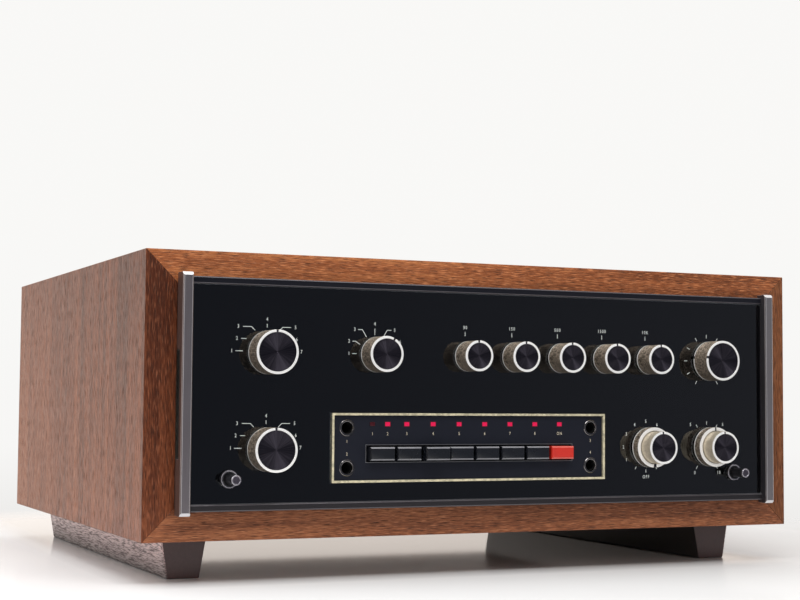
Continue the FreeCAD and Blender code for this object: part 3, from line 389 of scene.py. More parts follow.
# The caps' bevels are painted lighter, grey on black and pale red on red: a painted highlight.
button_edge = coated("button_edge_highlight", (0.24, 0.24, 0.26), 0.30)
red_plastic = coated("red_moulded_plastic", (0.58, 0.021, 0.010), 0.34)
red_edge = coated("red_edge_highlight", (0.74, 0.14, 0.11), 0.30)
# Painted shade: near black inside bores and holes, where light hardly reaches.
painted_hollow_shade = coated("painted_hollow_shade", (0.003, 0.003, 0.003), 0.7)
rear_paint = coated("rear_panel_paint", (0.045, 0.046, 0.050), 0.46)
white_insulator = coated("white_insulator", (0.62, 0.60, 0.55), 0.4)
red_insulator = coated("red_insulator", (0.42, 0.035, 0.025), 0.4)
board_green = coated("circuit_board", (0.030, 0.110, 0.050), 0.4)
blue_sleeve = coated("capacitor_sleeve", (0.06, 0.10, 0.26), 0.35)


# %% Rail paint
def rail_paint():
    """Satin black on the upper rail; the lower one is painted lighter grey, as painted light."""
    finish = Finish("satin_rail_paint", Specular_IOR_Level=0.4, Roughness=0.30)
    cloud = finish.noise(finish.place(), 40, 4, 0.6)
    black = finish.mixed(cloud, (0.005, 0.005, 0.009), (0.009, 0.009, 0.013))
    # Painted light: the lower rail is coloured a lighter grey, as if lit.
    painted_light = finish.mixed(cloud, (0.012, 0.010, 0.012), (0.022, 0.019, 0.021))
    upper = finish.part(finish.place(), "Z") > 0.1
    finish.feed("Base Color", finish.mixed(upper, painted_light, black))
    return finish


rail_black = rail_paint()

# %% [markdown]
# The face of a knob is spun: its cuts run round it, and they draw a highlight out into two
# wedges that meet in the middle. The shader does the same with a stretched highlight. With no
# direction given it follows circles about the piece's own Z axis, and a quarter turn lays it
# across them. Faint streaks depend on the direction from the middle alone, so they are noise
# on the unit vector that points there.

# %% Spun knob faces
def spun_face():
    finish = Finish("knob_spun_face", Metallic=1.0, Anisotropic=0.92, Anisotropic_Rotation=0.25)
    flat = finish.place((1, 1, 0))
    outward = finish.node("VectorMath", {"operation": "NORMALIZE"}, {0: flat}, "Vector")
    streak = finish.noise(outward, 11, 4, 0.75)
    share = finish.between(streak, 0.32, 0.68)
    finish.feed("Base Color", finish.mixed(share, (0.030, 0.027, 0.036), (0.090, 0.080, 0.100)))
    finish.feed("Roughness", finish.between(streak, 0.3, 0.7, 0.42, 0.52))
    return finish


knob_face = spun_face()

# %% [markdown]
# ## Glass, lights and printing
#
# The front is a real sheet of glass. Its lettering is printed on the back, so it lies a few
# millimetres behind the surface and moves against the knobs when the eye moves. Here the
# glass is clear with a polished coat, the plate behind it is black, and the marks glow a
# little, because on the real one lamps light them from behind.

# %% Clear glass, glowing marks and indicator lenses
def clear_glass():
    """Clear and perfectly polished, so only its colour and gloss are set."""
    finish = Finish("front_glass", Roughness=0.0, IOR=1.04, Transmission_Weight=1.0, Coat_Weight=1.0,
                    Coat_IOR=1.8, Coat_Roughness=0.0)
    tint = finish.noise(finish.place(), 12, 2, 0.5)
    finish.feed("Base Color", finish.mixed(tint, (0.88, 0.92, 0.96), (0.92, 0.95, 0.97)))
    return finish


def ground_edge():
    """Where the sheet is ground: pale at its top and bottom, dark in its openings."""
    finish = Finish("ground_glass_edge", Roughness=0.4)
    low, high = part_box("glass_panel")
    height = finish.part(finish.place(), "Z")
    rim = 1 - (height > low.z + 1.0 * MM) * (height < high.z - 1.0 * MM)
    finish.feed("Base Color", finish.mixed(rim, (0.008, 0.008, 0.010), (0.13, 0.135, 0.145)))
    return finish


def glowing(name, colour, strength, rough=0.4):
    finish = Finish(name, Roughness=rough, Emission_Strength=strength)
    grit = finish.noise(finish.place(), 2400, 2, 0.6)
    faded = shade(colour, 0.75)
    finish.feed("Emission Color", finish.mixed(grit, faded, colour))
    finish.feed("Base Color", finish.mixed(grit, shade(colour, 0.3), faded))
    return finish


front_glass = clear_glass()
glass_edge = ground_edge()
printed_white = glowing("printed_white", (0.80, 0.82, 0.78), 0.55)
# The marks on the plate glow as well, with nothing behind them: that glow is painted light.
printed_gold = glowing("printed_gold", (0.66, 0.58, 0.44), 0.40)
lens_lit = glowing("lens_lit", (0.84, 0.008, 0.085), 0.42, 0.2)
lens_dark = coated("lens_dark", (0.055, 0.006, 0.010), 0.2)
# Painted light: a glowing red sheet on the plate round each lit lens.
lens_glow = glowing("painted_red_glow", (0.13, 0.001, 0.009), 0.5)

# %% [markdown]
# ## From solid to piece
#
# Real edges are never perfectly sharp: a thin rounded edge catches a line of light, and that
# line is most of what makes a small object look real. Where the solid has the right shape,
# the piece is a copy of it with a narrow bevel. Where only the finish matters, the solid
# stays and just takes the finish.

# %% Dress a solid as it is, or add a piece
BODIES = {node: body for body, nodes in frame["record"]["behaviour"]["bodies"].items()
          for node in nodes}


def dress(node, finish):
    solid = frame["nodes"][node]
    if not solid.material_slots:
        solid.data.materials.append(finish.material)
    for place in solid.material_slots:
        place.material = finish.material
    print("%s takes %s" % (node, finish.material.name))


def smooth_by_angle(mesh, degrees=32):
    mesh.shade_smooth()
    mesh.set_sharp_from_angle(angle=math.radians(degrees))


def finished(shape, name):
    bmesh.ops.recalc_face_normals(shape, faces=shape.faces)
    mesh = bpy.data.meshes.new(name)
    shape.to_mesh(mesh)
    shape.free()
    return mesh


def add_piece(name, mesh, finishes, body, stands_for=(), at=None, facing=None):
    """Link a mesh into the scene, in its place, and let it ride on its body."""
    piece = bpy.data.objects.new(name, mesh)
    bpy.context.scene.collection.objects.link(piece)
    for finish in finishes:
        mesh.materials.append(finish.material)
    if at is not None:
        piece.location = at
        piece.rotation_euler = facing.to_euler()
    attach(piece, body)
    if stands_for:
        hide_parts(*stands_for)
    print("%s: %d faces, on %s" % (name, len(mesh.polygons), body))
    return piece


# %% Copy a solid and soften its edges
def rounded(piece, width, segments):
    bevel = piece.modifiers.new("rounded_edges", "BEVEL")
    bevel.width = width
    bevel.segments = segments
    return bevel


def solid_copy(node):
    """The node's solid as an editable shape, with its doubled corners merged."""
    shape = bmesh.new()
    shape.from_mesh(frame["nodes"][node].data)
    bmesh.ops.remove_doubles(shape, verts=shape.verts, dist=1e-7)
    return shape


def softened(node, name, finish, edge, segments=2, edge_finish=None, on=("rounded",), reshape=None):
    """A copy of the node's solid whose sharp edges are rounded by this width.

    A second finish goes on what was rounded, on faces that slant up or down, or on both. A
    function may reshape the copy first.
    """
    shape = solid_copy(node)
    bmesh.ops.dissolve_limit(shape, angle_limit=math.radians(1), verts=shape.verts, edges=shape.edges)
    if reshape:
        reshape(shape)
    if "slanted" in on:
        for face in shape.faces:
            face.material_index = int(0.2 < abs(face.normal.z) < 0.95)
    mesh = bpy.data.meshes.new(name)
    shape.to_mesh(mesh)
    shape.free()
    smooth_by_angle(mesh)
    piece = add_piece(name, mesh, [finish], BODIES[node], [node])
    bevel = rounded(piece, edge, segments)
    bevel.limit_method = "ANGLE"
    bevel.angle_limit = math.radians(28)
    bevel.harden_normals = True
    if edge_finish:
        mesh.materials.append(edge_finish.material)
    if edge_finish and "rounded" in on:
        bevel.material = 1
    return piece


# %% [markdown]
# ## Cabinet
#
# Four boards meet in mitres at the corners. A tiny bevel on each board leaves the fine line
# that shows at a real mitre joint.

# %% Walnut boards and runners
SIDES = ("left", "right")
BOARD_EDGE = 0.35 * MM
for side in SIDES:
    softened("cabinet_%s_side" % side, "walnut_%s_side" % side, walnut_sides[side], BOARD_EDGE)
    softened("runner_" + side, "stained_runner_" + side, stained, 0.8 * MM)
softened("cabinet_top", "walnut_top_board", walnut_top, BOARD_EDGE)
softened("cabinet_bottom", "walnut_bottom_board", walnut_bottom, BOARD_EDGE)

# %% [markdown]
# ## Front
#
# From the outside in: two satin aluminium end caps with bright rounded edges, two black
# rails, the glass with its polished edge, and the black plate that carries the controls.

# %% Caps, rails, glass and plate
for side in SIDES:
    softened("end_cap_" + side, "aluminium_cap_" + side, cap_face[side], 0.12 * MM, 3, cap_edge,
             ("rounded", "slanted"))
softened("trim_rails", "black_trim_rails", rail_black, 0.18 * MM, 3, rail_edge)
softened("glass_panel", "front_glass_panel", front_glass, 0.25 * MM, 2, glass_edge)
dress("front_plate", behind_glass)

# %% [markdown]
# The window in the glass holds a charcoal plate inside a gold frame. The row of buttons
# stands in a slot whose edge shows as a thin grey line.

# %% Gold frame, charcoal plate and slot edge
softened("window_frame", "gold_window_frame", gold_trim, 0.12 * MM)
softened("centre_plate", "charcoal_switch_plate", charcoal, 0.1 * MM)
plate_low, plate_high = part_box("centre_plate")


def bar(shape, low, high, finish=0):
    """A box between two corners, added to a shape that is being built."""
    low, high = Vector(low), Vector(high)
    place = Matrix.Translation((high + low) / 2) @ Matrix.Diagonal((*(high - low), 1.0))
    made = bmesh.ops.create_cube(shape, size=1.0, matrix=place)["verts"]
    for face in {face for vert in made for face in vert.link_faces}:
        face.material_index = finish


def slot_edge():
    margin, line, proud = 1.0 * MM, 0.45 * MM, 0.15 * MM
    first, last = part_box("push_button_1"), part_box("push_button_8")
    left, right = first[0].x - margin, last[1].x + margin
    low, high = first[0].z - margin, first[1].z + margin
    front, back = plate_low.y - proud, plate_low.y + 0.3 * MM
    shape = bmesh.new()
    for z in (low, high + line):
        bar(shape, (left - line, front, z - line), (right + line, back, z))
    for x in (left, right + line):
        bar(shape, (x - line, front, low), (x, back, high))
    add_piece("button_slot_edge", finished(shape, "button_slot_edge"), [slot_line], "unit")


slot_edge()

# %% [markdown]
# ## Turned pieces
#
# Knobs, jacks, collars and sockets are turned on a lathe, so one function turns a profile:
# a list of radius, depth and finish in millimetres, from the middle of the face out and round
# to the back. A point may have a knurl's depth too, and then every second vertex of its ring
# lies deeper. Each mesh is turned about its own Z axis, because a spun highlight follows that
# axis, and the object then points it to the back or to the front.

# %% The lathe
RING, SIDE, FACE, CORE = 0, 1, 2, 3
FACING_BACK = Matrix.Rotation(math.pi / 2, 4, "X")


def facing_front(turn=0.0):
    """Z points to the back, so the face looks forward, turned clockwise by an angle."""
    return Matrix.Rotation(turn, 4, "Y") @ Matrix.Rotation(-math.pi / 2, 4, "X")


def lathe(name, profile, steps, closed=False, notch=None):
    """Turn a profile about the Z axis. A notch gives points near the first step new depths."""
    shape = bmesh.new()
    rings = []
    for radius, depth, _, *knurl in profile:
        if radius == 0:
            rings.append([shape.verts.new((0, 0, depth * MM))])
            continue
        ring = []
        for step in range(steps):
            angle = 2 * math.pi * step / steps
            reach = (radius - sum(knurl) * (step % 2)) * MM
            sunk = depth
            if notch and min(step, steps - step) < 2:
                sunk = notch.get((radius, depth), depth)
            ring.append(shape.verts.new((reach * math.sin(angle), -reach * math.cos(angle), sunk * MM)))
        rings.append(ring)
    pairs = list(zip(rings, rings[1:])) + ([(rings[-1], rings[0])] if closed else [])
    for number, (near, far) in enumerate(pairs):
        finish = profile[(number + 1) % len(profile)][2]
        for step in range(steps):
            after = (step + 1) % steps
            corners = [near[step % len(near)], near[after % len(near)],
                       far[after % len(far)], far[step % len(far)]]
            unique = list(dict.fromkeys(corners))
            in_notch = notch and (step < 1 or after >= steps - 1 or after == 0)
            if len(unique) > 2:
                shape.faces.new(unique).material_index = FACE if in_notch and finish == RING else finish
    mesh = finished(shape, name)
    smooth_by_angle(mesh)
    return mesh


# %% [markdown]
# ## Knobs
#
# Each knob is an aluminium cup: fine straight knurling round the side, a polished white ring
# in front with a thin cut as its pointer, and inside the ring a dark spun face. The knurl's
# pitch is the same on every knob, as a real tool leaves it. The two double knobs are a deeper
# cup with a taller knob in it, whose thin spindle runs through the cup's hollow one.

# %% Profiles of a knob
KNURL_PITCH = 1.1
KNURL_DEPTH = 0.17
RING_WIDTH = 1.45
FACE_DEPTH = 0.9
CUP_DEPTH = 4.2
CUP_PLAY = 0.4
SPINDLE = 3.175
THIN_SPINDLE = 1.6


def rim_profile(radius, inner):
    """The front ring, from its inner edge out."""
    return [(inner, 0.12, FACE), (inner + 0.12, 0, RING), (radius - 0.45, 0, RING),
            (radius - 0.12, 0.12, RING)]


def face_profile(inner):
    """The sunk face, from its middle out to the ring."""
    return [(0, FACE_DEPTH + 0.25, FACE), (0.35, FACE_DEPTH + 0.18, FACE), (0.55, FACE_DEPTH, FACE),
            (inner * 0.5, FACE_DEPTH - 0.04, FACE), (inner - 0.25, FACE_DEPTH, FACE),
            (inner, FACE_DEPTH - 0.1, FACE)]


def side_profile(radius, length):
    """From the front ring's edge down the knurled side to the bright foot."""
    return [(radius, 0.42, RING), (radius - 0.02, 0.6, SIDE), (radius, 0.7, SIDE, KNURL_DEPTH),
            (radius, length - 1.5, SIDE, KNURL_DEPTH), (radius - 0.02, length - 1.35, SIDE),
            (radius, length - 1.2, RING), (radius, length - 0.35, RING), (radius - 0.35, length, RING)]


def cut_ring(radius, inner):
    """The pointer: where the front ring is cut down to the face, depth by profile point."""
    cut = rim_profile(radius, inner) + side_profile(radius, 0)[:2]
    return {point[:2]: FACE_DEPTH for point in cut}


# %% [markdown]
# The inner knobs are champagne coloured where the others are grey. Each knob's spindle ends
# where its solid does.

# %% Knobs
def middle_of(node):
    low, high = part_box(node)
    return (low.x + high.x) / 2, low.y, (low.z + high.z) / 2


def knob(node, side, foot, spindle, turn=0.0, cup=None):
    """A knob with its foot at this Y. A cup's radius makes room for a second knob in it."""
    low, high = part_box(node)
    radius = (high.z - low.z) / 2 / MM
    length, end = (foot - low.y) / MM, (high.y - low.y) / MM
    inner = cup or radius - RING_WIDTH
    if cup:
        bore = THIN_SPINDLE + 0.05
        start = [(bore, end, CORE), (bore, CUP_DEPTH, CORE), (cup, CUP_DEPTH, FACE)]
        tip = [(spindle, end, CORE)]
    else:
        start = face_profile(inner)
        tip = [(spindle, end - 0.3, CORE), (spindle - 0.3, end, CORE), (0, end, CORE)]
    notch = cut_ring(radius, inner)
    if not cup:
        notch[inner, 0.12] = FACE_DEPTH - 0.1
    profile = start + rim_profile(radius, inner) + side_profile(radius, length)
    profile += [(spindle, length, CORE)] + tip
    steps = 2 * round(2 * math.pi * radius / KNURL_PITCH)
    mesh = lathe(node + "_turned", profile, steps, closed=bool(cup), notch=notch)
    add_piece(node + "_turned", mesh, [knob_ring, side, knob_face, steel], node, [node],
              middle_of(node), facing_front(turn))


KNOB_GAP = 0.8 * MM
glass_low, glass_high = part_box("glass_panel")
knob_foot = glass_low.y - KNOB_GAP
EQUALISERS = ["equaliser_knob_%d" % n for n in range(1, 6)]
TURNS = {"mode_knob": math.radians(30), "volume_knob": math.radians(-79)}
for node in ["upper_selector_knob", "lower_selector_knob", "mode_knob", "volume_knob"] + EQUALISERS:
    knob(node, knob_side, knob_foot, SPINDLE, TURNS.get(node, 0.0))
for name, turn in (("ratio", math.pi), ("balance", 0.0)):
    inner, outer = name + "_inner_knob", name + "_outer_knob"
    low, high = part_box(inner)
    knob(outer, knob_side, knob_foot, SPINDLE, turn, (high.z - low.z) / 2 / MM + CUP_PLAY)
    knob(inner, knob_gold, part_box(outer)[0].y + (CUP_DEPTH - 0.5) * MM, THIN_SPINDLE)

# %% [markdown]
# ## Push buttons
#
# Eight moulded caps with bevelled upper and lower edges. Their ends taper a little towards the
# front, which keeps a dark line between neighbours. The last one, which switches the power, is
# red.

# %% Button caps
END_TAPER = 0.5 * MM
BUTTONS = ["push_button_%d" % n for n in range(1, 9)]


def taper_ends(shape):
    """Cut round the cap behind its bevels and draw the front face in at both ends."""
    levels = sorted({round(vert.co.y, 6) for vert in shape.verts})
    bmesh.ops.bisect_plane(shape, geom=shape.verts[:] + shape.edges[:] + shape.faces[:],
                           plane_co=(0, levels[1], 0), plane_no=(0, 1, 0))
    front = [vert for vert in shape.verts if vert.co.y < levels[0] + 0.01 * MM]
    middle = sum(vert.co.x for vert in front) / len(front)
    for vert in front:
        vert.co.x -= math.copysign(END_TAPER, vert.co.x - middle)
    shape.normal_update()


for n, node in enumerate(BUTTONS, 1):
    # The bevels that slant up or down take the painted highlight.
    cap, edge = (red_plastic, red_edge) if n == len(BUTTONS) else (button_black, button_edge)
    softened(node, "button_cap_%d" % n, cap, 0.14 * MM, 2, edge, ("slanted",), taper_ends)

# %% [markdown]
# ## Indicator lights
#
# Nine small lenses show through holes in the plate, on a strip of circuit board behind it.
# All but the first are lit, and round each of those a thin red sheet on the plate glows a
# little: a painted glow of the lens's light. Each lens is a low pillow, so it has a highlight
# of its own.

# %% Lenses on their strip
LENS_WIDTH = 3.2 * MM
LENS_HEIGHT = 2.4 * MM
LENS_DEPTH = 3.0 * MM
BOARD_THICK = 1.6 * MM
GLOW_MARGIN = 0.3 * MM
LIGHT_SPLIT = 4.95 * MM
light_low, light_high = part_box("indicator_lights")
light_level = (light_low.z + light_high.z) / 2
button_places = [sum(corner.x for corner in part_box(node)) / 2 for node in BUTTONS]
light_places = [button_places[0] - LIGHT_SPLIT, button_places[0] + LIGHT_SPLIT] + button_places[1:]


def lens_block(shape, x, front, back, margin=0.0, finish=0):
    """A box as large as a lens and a margin, between two depths."""
    wide, tall = LENS_WIDTH / 2 + margin, LENS_HEIGHT / 2 + margin
    bar(shape, (x - wide, front, light_level - tall), (x + wide, back, light_level + tall), finish)


def lights():
    lenses, glows = bmesh.new(), bmesh.new()
    for n, x in enumerate(light_places):
        lens_block(lenses, x, light_low.y, light_low.y + LENS_DEPTH, finish=int(n == 0))
    bar(lenses, (light_low.x, light_high.y - BOARD_THICK, light_low.z), light_high, 2)
    piece = add_piece("indicator_lenses", finished(lenses, "indicator_lenses"),
                      [lens_lit, lens_dark, board_green], "unit", ["indicator_lights"])
    rounded(piece, 0.30 * MM, 3)
    for x in light_places[1:]:
        # Painted light: a thin glowing sheet on the plate round each lit lens.
        lens_block(glows, x, plate_low.y - 0.02 * MM, plate_low.y + 0.2 * MM, GLOW_MARGIN)
    add_piece("painted_lens_glows", finished(glows, "painted_lens_glows"), [lens_glow], "unit")


lights()

# %% [markdown]
# ## Front jacks
#
# Four phone jacks: a nickel bush with a rounded lip round a bore painted near black, as painted
# shade. The black body sits behind the plate.

# %% Jack bushes and bodies
JACK_BORE = 3.25
JACK_LIP = 4.9
JACK_NECK = 4.4
JACK_HOLD = 22.0
JACK_BODY = (9.6 * MM, 10.6 * MM)
JACK_WALL = 0.8 * MM
jack_low, jack_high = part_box("front_jacks")
lip_proud = (plate_low.y - jack_low.y) / MM
jack_columns = (jack_low.x + JACK_BODY[0] / 2, jack_high.x - JACK_BODY[0] / 2)
jack_rows = (jack_low.z + JACK_BODY[1] / 2, jack_high.z - JACK_BODY[1] / 2)


def turn_piece(name, profile, steps, finishes, body, at, facing, stands_for=(), closed=False):
    mesh = lathe(name, profile, steps, closed)
    return add_piece(name, mesh, finishes, body, stands_for, at, facing)


def jack_bodies():
    shape = bmesh.new()
    wide, tall = JACK_BODY[0] / 2, JACK_BODY[1] / 2
    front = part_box("front_plate")[0].y
    hold = front + JACK_HOLD * MM
    for x in jack_columns:
        for z in jack_rows:
            bar(shape, (x - wide, hold - 2 * MM, z - tall), (x + wide, jack_high.y, z + tall))
            for wall in (x - wide, x + wide - JACK_WALL):
                bar(shape, (wall, front, z - tall), (wall + JACK_WALL, hold, z + tall))
    add_piece("jack_bodies", finished(shape, "jack_bodies"), [black_plastic], "unit",
              ["front_jacks"])


bush = [(0, JACK_HOLD, 1), (JACK_BORE, JACK_HOLD, 1), (JACK_BORE, 1.2, 1),
        (JACK_BORE + 0.12, 0.5, 0), (JACK_BORE + 0.45, 0.1, 0), (JACK_BORE + 0.8, 0, 0),
        (JACK_LIP - 0.3, 0.05, 0), (JACK_LIP, 0.3, 0), (JACK_LIP, lip_proud - 0.02, 0),
        (JACK_NECK, lip_proud, 0), (JACK_NECK, JACK_HOLD + 1, 1), (0, JACK_HOLD + 1, 1)]
for across, x in zip(SIDES, jack_columns):
    for up, z in zip(("lower", "upper"), jack_rows):
        turn_piece("jack_bush_%s_%s" % (across, up), bush, 64, [jack_metal, painted_hollow_shade], "unit",
                   (x, jack_low.y, z), facing_front())
jack_bodies()

# %% [markdown]
# ## Release buttons
#
# In each lower corner a long round button stands in a black collar with a bright rim. Pushed
# in, it moves a latch, and the unit can be pulled out of the cabinet. The rod and the cam
# behind the glass stay the solid's own shape, and the round end in front is turned anew.

# %% Round ends, rods with cams, and collars
CAP_RADIUS = 2.9
CAP_LENGTH = 12.0
CAP_PROUD = 0.3 * MM
COLLAR_RADIUS = 5.15
CAM_EASE = 0.15 * MM
collar_low, collar_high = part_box("lock_collars")


def ease_crest(piece):
    """Take the cam's crest down a little, so that it clears the chassis when the rod moves."""
    crest = max(abs(vert.co.x) for vert in piece.data.vertices)
    for vert in piece.data.vertices:
        if abs(vert.co.x) > crest - 0.01 * MM:
            vert.co.x *= (crest - CAM_EASE) / crest


def release_button(side, x, stands_for):
    node = "release_button_" + side
    ease_crest(softened(node, "release_rod_" + side, black_plastic, 0.12 * MM))
    z = (collar_low.z + collar_high.z) / 2
    edge = CAP_RADIUS + 0.02
    cap = [(0, 0.22, 0), (CAP_RADIUS - 0.75, 0.2, 0), (CAP_RADIUS - 0.6, 0.05, 1),
           (CAP_RADIUS - 0.25, 0, 1), (edge, 0.3, 1), (edge, 0.6, 1), (edge, CAP_LENGTH, 2),
           (0, CAP_LENGTH, 2)]
    turn_piece("release_cap_" + side, cap, 64, [dark_chrome, chrome_rim, black_plastic], node,
               (x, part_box(node)[0].y - CAP_PROUD, z), facing_front())
    depth = (collar_high.y - collar_low.y) / MM
    hole = CAP_RADIUS + 0.12
    collar = [(hole, depth, 0), (hole, 0.4, 0), (hole + 0.25, 0.1, 0), (COLLAR_RADIUS - 0.75, 0.1, 0),
              (COLLAR_RADIUS - 0.5, 0, 1), (COLLAR_RADIUS - 0.2, 0.03, 1), (COLLAR_RADIUS, 0.3, 1),
              (COLLAR_RADIUS, depth, 0)]
    turn_piece("lock_collar_" + side, collar, 72, [black_plastic, chrome_rim], "unit",
               (x, collar_low.y, z), facing_front(), stands_for, closed=True)


release_button("left", collar_low.x + COLLAR_RADIUS * MM, ["lock_collars"])
release_button("right", collar_high.x - COLLAR_RADIUS * MM, ())
for side in SIDES:
    dress("lock_latch_" + side, zinc)

# %% [markdown]
# ## Marks behind the glass
#
# Round the knobs are short ticks, bent leader lines and plain numbers. They are thin solids,
# a twentieth of a millimetre thick, just in front of the black plate. Their places are given
# from the middle of each knob, in millimetres, as a draughtsman would set them out.

# %% Strokes and numbers
MARK_THICK = 0.05 * MM
STROKE = 0.34 * MM
LETTER_SIZE, LETTER_WIDTH, LETTER_SPACE = 1.38, 0.82, 1.30


class Marks:
    """Lines and numbers in an upright plane, given across and up from a point in millimetres."""

    def __init__(self, face, height):
        self.shape = bmesh.new()
        self.level = face + MARK_THICK / 2
        self.height = height
        self.origin = (0, 0, 0)

    def place(self, across, up):
        x, _, z = self.origin
        return Matrix.Translation((x + across * MM, self.level, z + up * MM))

    def line(self, *points):
        for (x0, z0), (x1, z1) in zip(points, points[1:]):
            length = math.hypot(x1 - x0, z1 - z0) * MM + STROKE
            turn = Matrix.Rotation(-math.atan2(z1 - z0, x1 - x0), 4, "Y")
            size = Matrix.Diagonal((length, MARK_THICK, STROKE, 1))
            matrix = self.place((x0 + x1) / 2, (z0 + z1) / 2) @ turn @ size
            bmesh.ops.create_cube(self.shape, size=1.0, matrix=matrix)

    def text(self, text, across=0.0, up=0.0):
        curve = bpy.data.curves.new("lettering", "FONT")
        curve.body = text
        curve.align_x = "CENTER"
        curve.align_y = "CENTER"
        curve.size = self.height * LETTER_SIZE
        curve.extrude = MARK_THICK / 2
        curve.resolution_u = 2
        curve.space_character = LETTER_SPACE
        carrier = bpy.data.objects.new("lettering", curve)
        mesh = bpy.data.meshes.new_from_object(carrier)
        upright = Matrix.Rotation(math.pi / 2, 4, "X") @ Matrix.Diagonal((LETTER_WIDTH, 1, 1, 1))
        mesh.transform(self.place(across, up) @ upright)
        self.shape.from_mesh(mesh)
        bpy.data.objects.remove(carrier)
        bpy.data.curves.remove(curve)
        bpy.data.meshes.remove(mesh)

    def positions(self, node, arms, top):
        """Numbers from the left round to the right, each at the start of its leader line.

        The lines are given for the right side, from the lowest up, with the heights of the one
        on top.
        """
        self.origin = middle_of(node)
        left = [[(-across, up) for across, up in arm] for arm in arms]
        for count, (place, *line) in enumerate(left + [[(0, up) for up in top]] + arms[::-1], 1):
            self.line(*line)
            self.text(str(count), *place)

    def ticks(self, node, angles, near, far):
        self.origin = middle_of(node)
        for turn in map(math.radians, angles):
            self.line((near * math.sin(turn), near * math.cos(turn)),
                      (far * math.sin(turn), far * math.cos(turn)))

    def done(self, name, finish):
        add_piece(name, finished(self.shape, name), [finish], "unit")


# %% Marks round the knobs
SELECTOR_ARMS = [[(21.4, 0.7), (19.0, 0.7), (14.9, 0.7)], [(18.4, 7.9), (15.6, 7.9), (12.8, 7.9)],
                 [(17.6, 14.9), (14.6, 14.9), (9.6, 14.9), (7.6, 12.9)]]
MODE_ARMS = [[(16.6, 0.4), (14.4, 0.4), (11.9, 0.4)],
             [(16.6, 7.8), (14.2, 7.8), (12.5, 7.8), (9.6, 6.0)],
             [(13.0, 14.8), (10.6, 14.8), (8.1, 14.8), (5.5, 10.6)]]
BALANCE_NUMBERS = (("5", -12.6, 14.4), ("5", 12.6, 14.4), ("0", -9.4, -17.0), ("10", 9.4, -17.0))

marks = Marks(glass_high.y - 0.07 * MM, 2.2 * MM)
marks.positions("upper_selector_knob", SELECTOR_ARMS, (19.3, 16.6, 14.7))
marks.positions("lower_selector_knob", SELECTOR_ARMS, (19.3, 16.6, 14.7))
marks.positions("mode_knob", MODE_ARMS, (18.3, 15.4, 12.0))
for node, text in zip(EQUALISERS, ("30", "150", "500", "1500", "10K")):
    marks.origin = middle_of(node)
    marks.line((-0.5, 14.9), (-0.5, 12.6))
    marks.text(text, -0.5, 17.6)
marks.ticks("volume_knob", range(-150, 151, 30), 15.2, 17.2)
marks.ticks("balance_outer_knob", (-150, -30, 0, 30, 150), 14.6, 16.4)
for text, across, up in BALANCE_NUMBERS:
    marks.text(text, across, up)
marks.ticks("ratio_outer_knob", (-150, -180, 150), 14.6, 16.2)
for count in range(1, 10):
    turn = math.radians(30 * (count - 5))
    marks.text(str(count), 16.9 * math.sin(turn), 16.4 * math.cos(turn))
marks.text("OFF", 0, -19.2)
marks.done("marks_behind_glass", printed_white)

# %% [markdown]
# On the charcoal plate the marks are printed on the surface: numbers under the lights and
# beside the jacks, and ON over the red button. They glow a little like the marks behind the
# glass, though nothing lights them from behind: that glow is painted light.

# %% Marks on the switch plate
marks = Marks(plate_low.y - MARK_THICK, 1.9 * MM)
for count, x in enumerate(light_places, 1):
    marks.origin = (x, 0, plate_high.z - 10.9 * MM)
    marks.text("ON" if x == light_places[-1] else str(count))
for texts, x in zip(("12", "34"), jack_columns):
    marks.origin = (x, 0, sum(jack_rows) / 2)
    for text, up in zip(texts, (3.7, -3.7)):
        marks.text(text, 0, up)
marks.done("marks_on_plate", printed_gold)

# %% [markdown]
# ## Chassis and covers
#
# Folded zinc-plated steel. The sheet's edges are softened a little, and the covers keep
# their rows of vents from the solid.

# %% Chassis, covers and brackets
SHEET_EDGE = 0.2 * MM
softened("chassis_frame", "folded_chassis", zinc, SHEET_EDGE)
softened("top_cover", "vented_top_cover", zinc, SHEET_EDGE)
softened("bottom_cover", "vented_bottom_cover", zinc, SHEET_EDGE)
softened("slide_brackets", "folded_slide_brackets", zinc, SHEET_EDGE)

# %% [markdown]
# Screws have a round head with a driver's slot. A head is a thin disc with two raised halves,
# and the gap between the halves is the slot.

# %% Slotted screw heads
SCREW_STEPS = 24
SCREW_SLOT = 0.8 * MM
SCREW_TAPER = 0.25 * MM
COVER_SCREW = (3.3 * MM, 1.8 * MM)
TERMINAL_SCREW = (3.6 * MM, 2.2 * MM)


def half_disc(shape, radius, low, high, side):
    """One raised half of a screw head, on its own side of the slot."""
    start = math.asin(SCREW_SLOT / 2 / radius)
    angles = [start + (math.pi - 2 * start) * step / SCREW_STEPS for step in range(SCREW_STEPS + 1)]
    rims = []
    for level, reach in ((low, radius), (high, radius - SCREW_TAPER)):
        points = [(reach * math.cos(a), max(reach * math.sin(a), SCREW_SLOT / 2)) for a in angles]
        rims.append([shape.verts.new((x, side * y, level)) for x, y in points])
        shape.faces.new(rims[-1])
    for step in range(-1, SCREW_STEPS):
        near, far = ([rim[step], rim[step + 1]] for rim in rims)
        shape.faces.new(near + far[::-1])


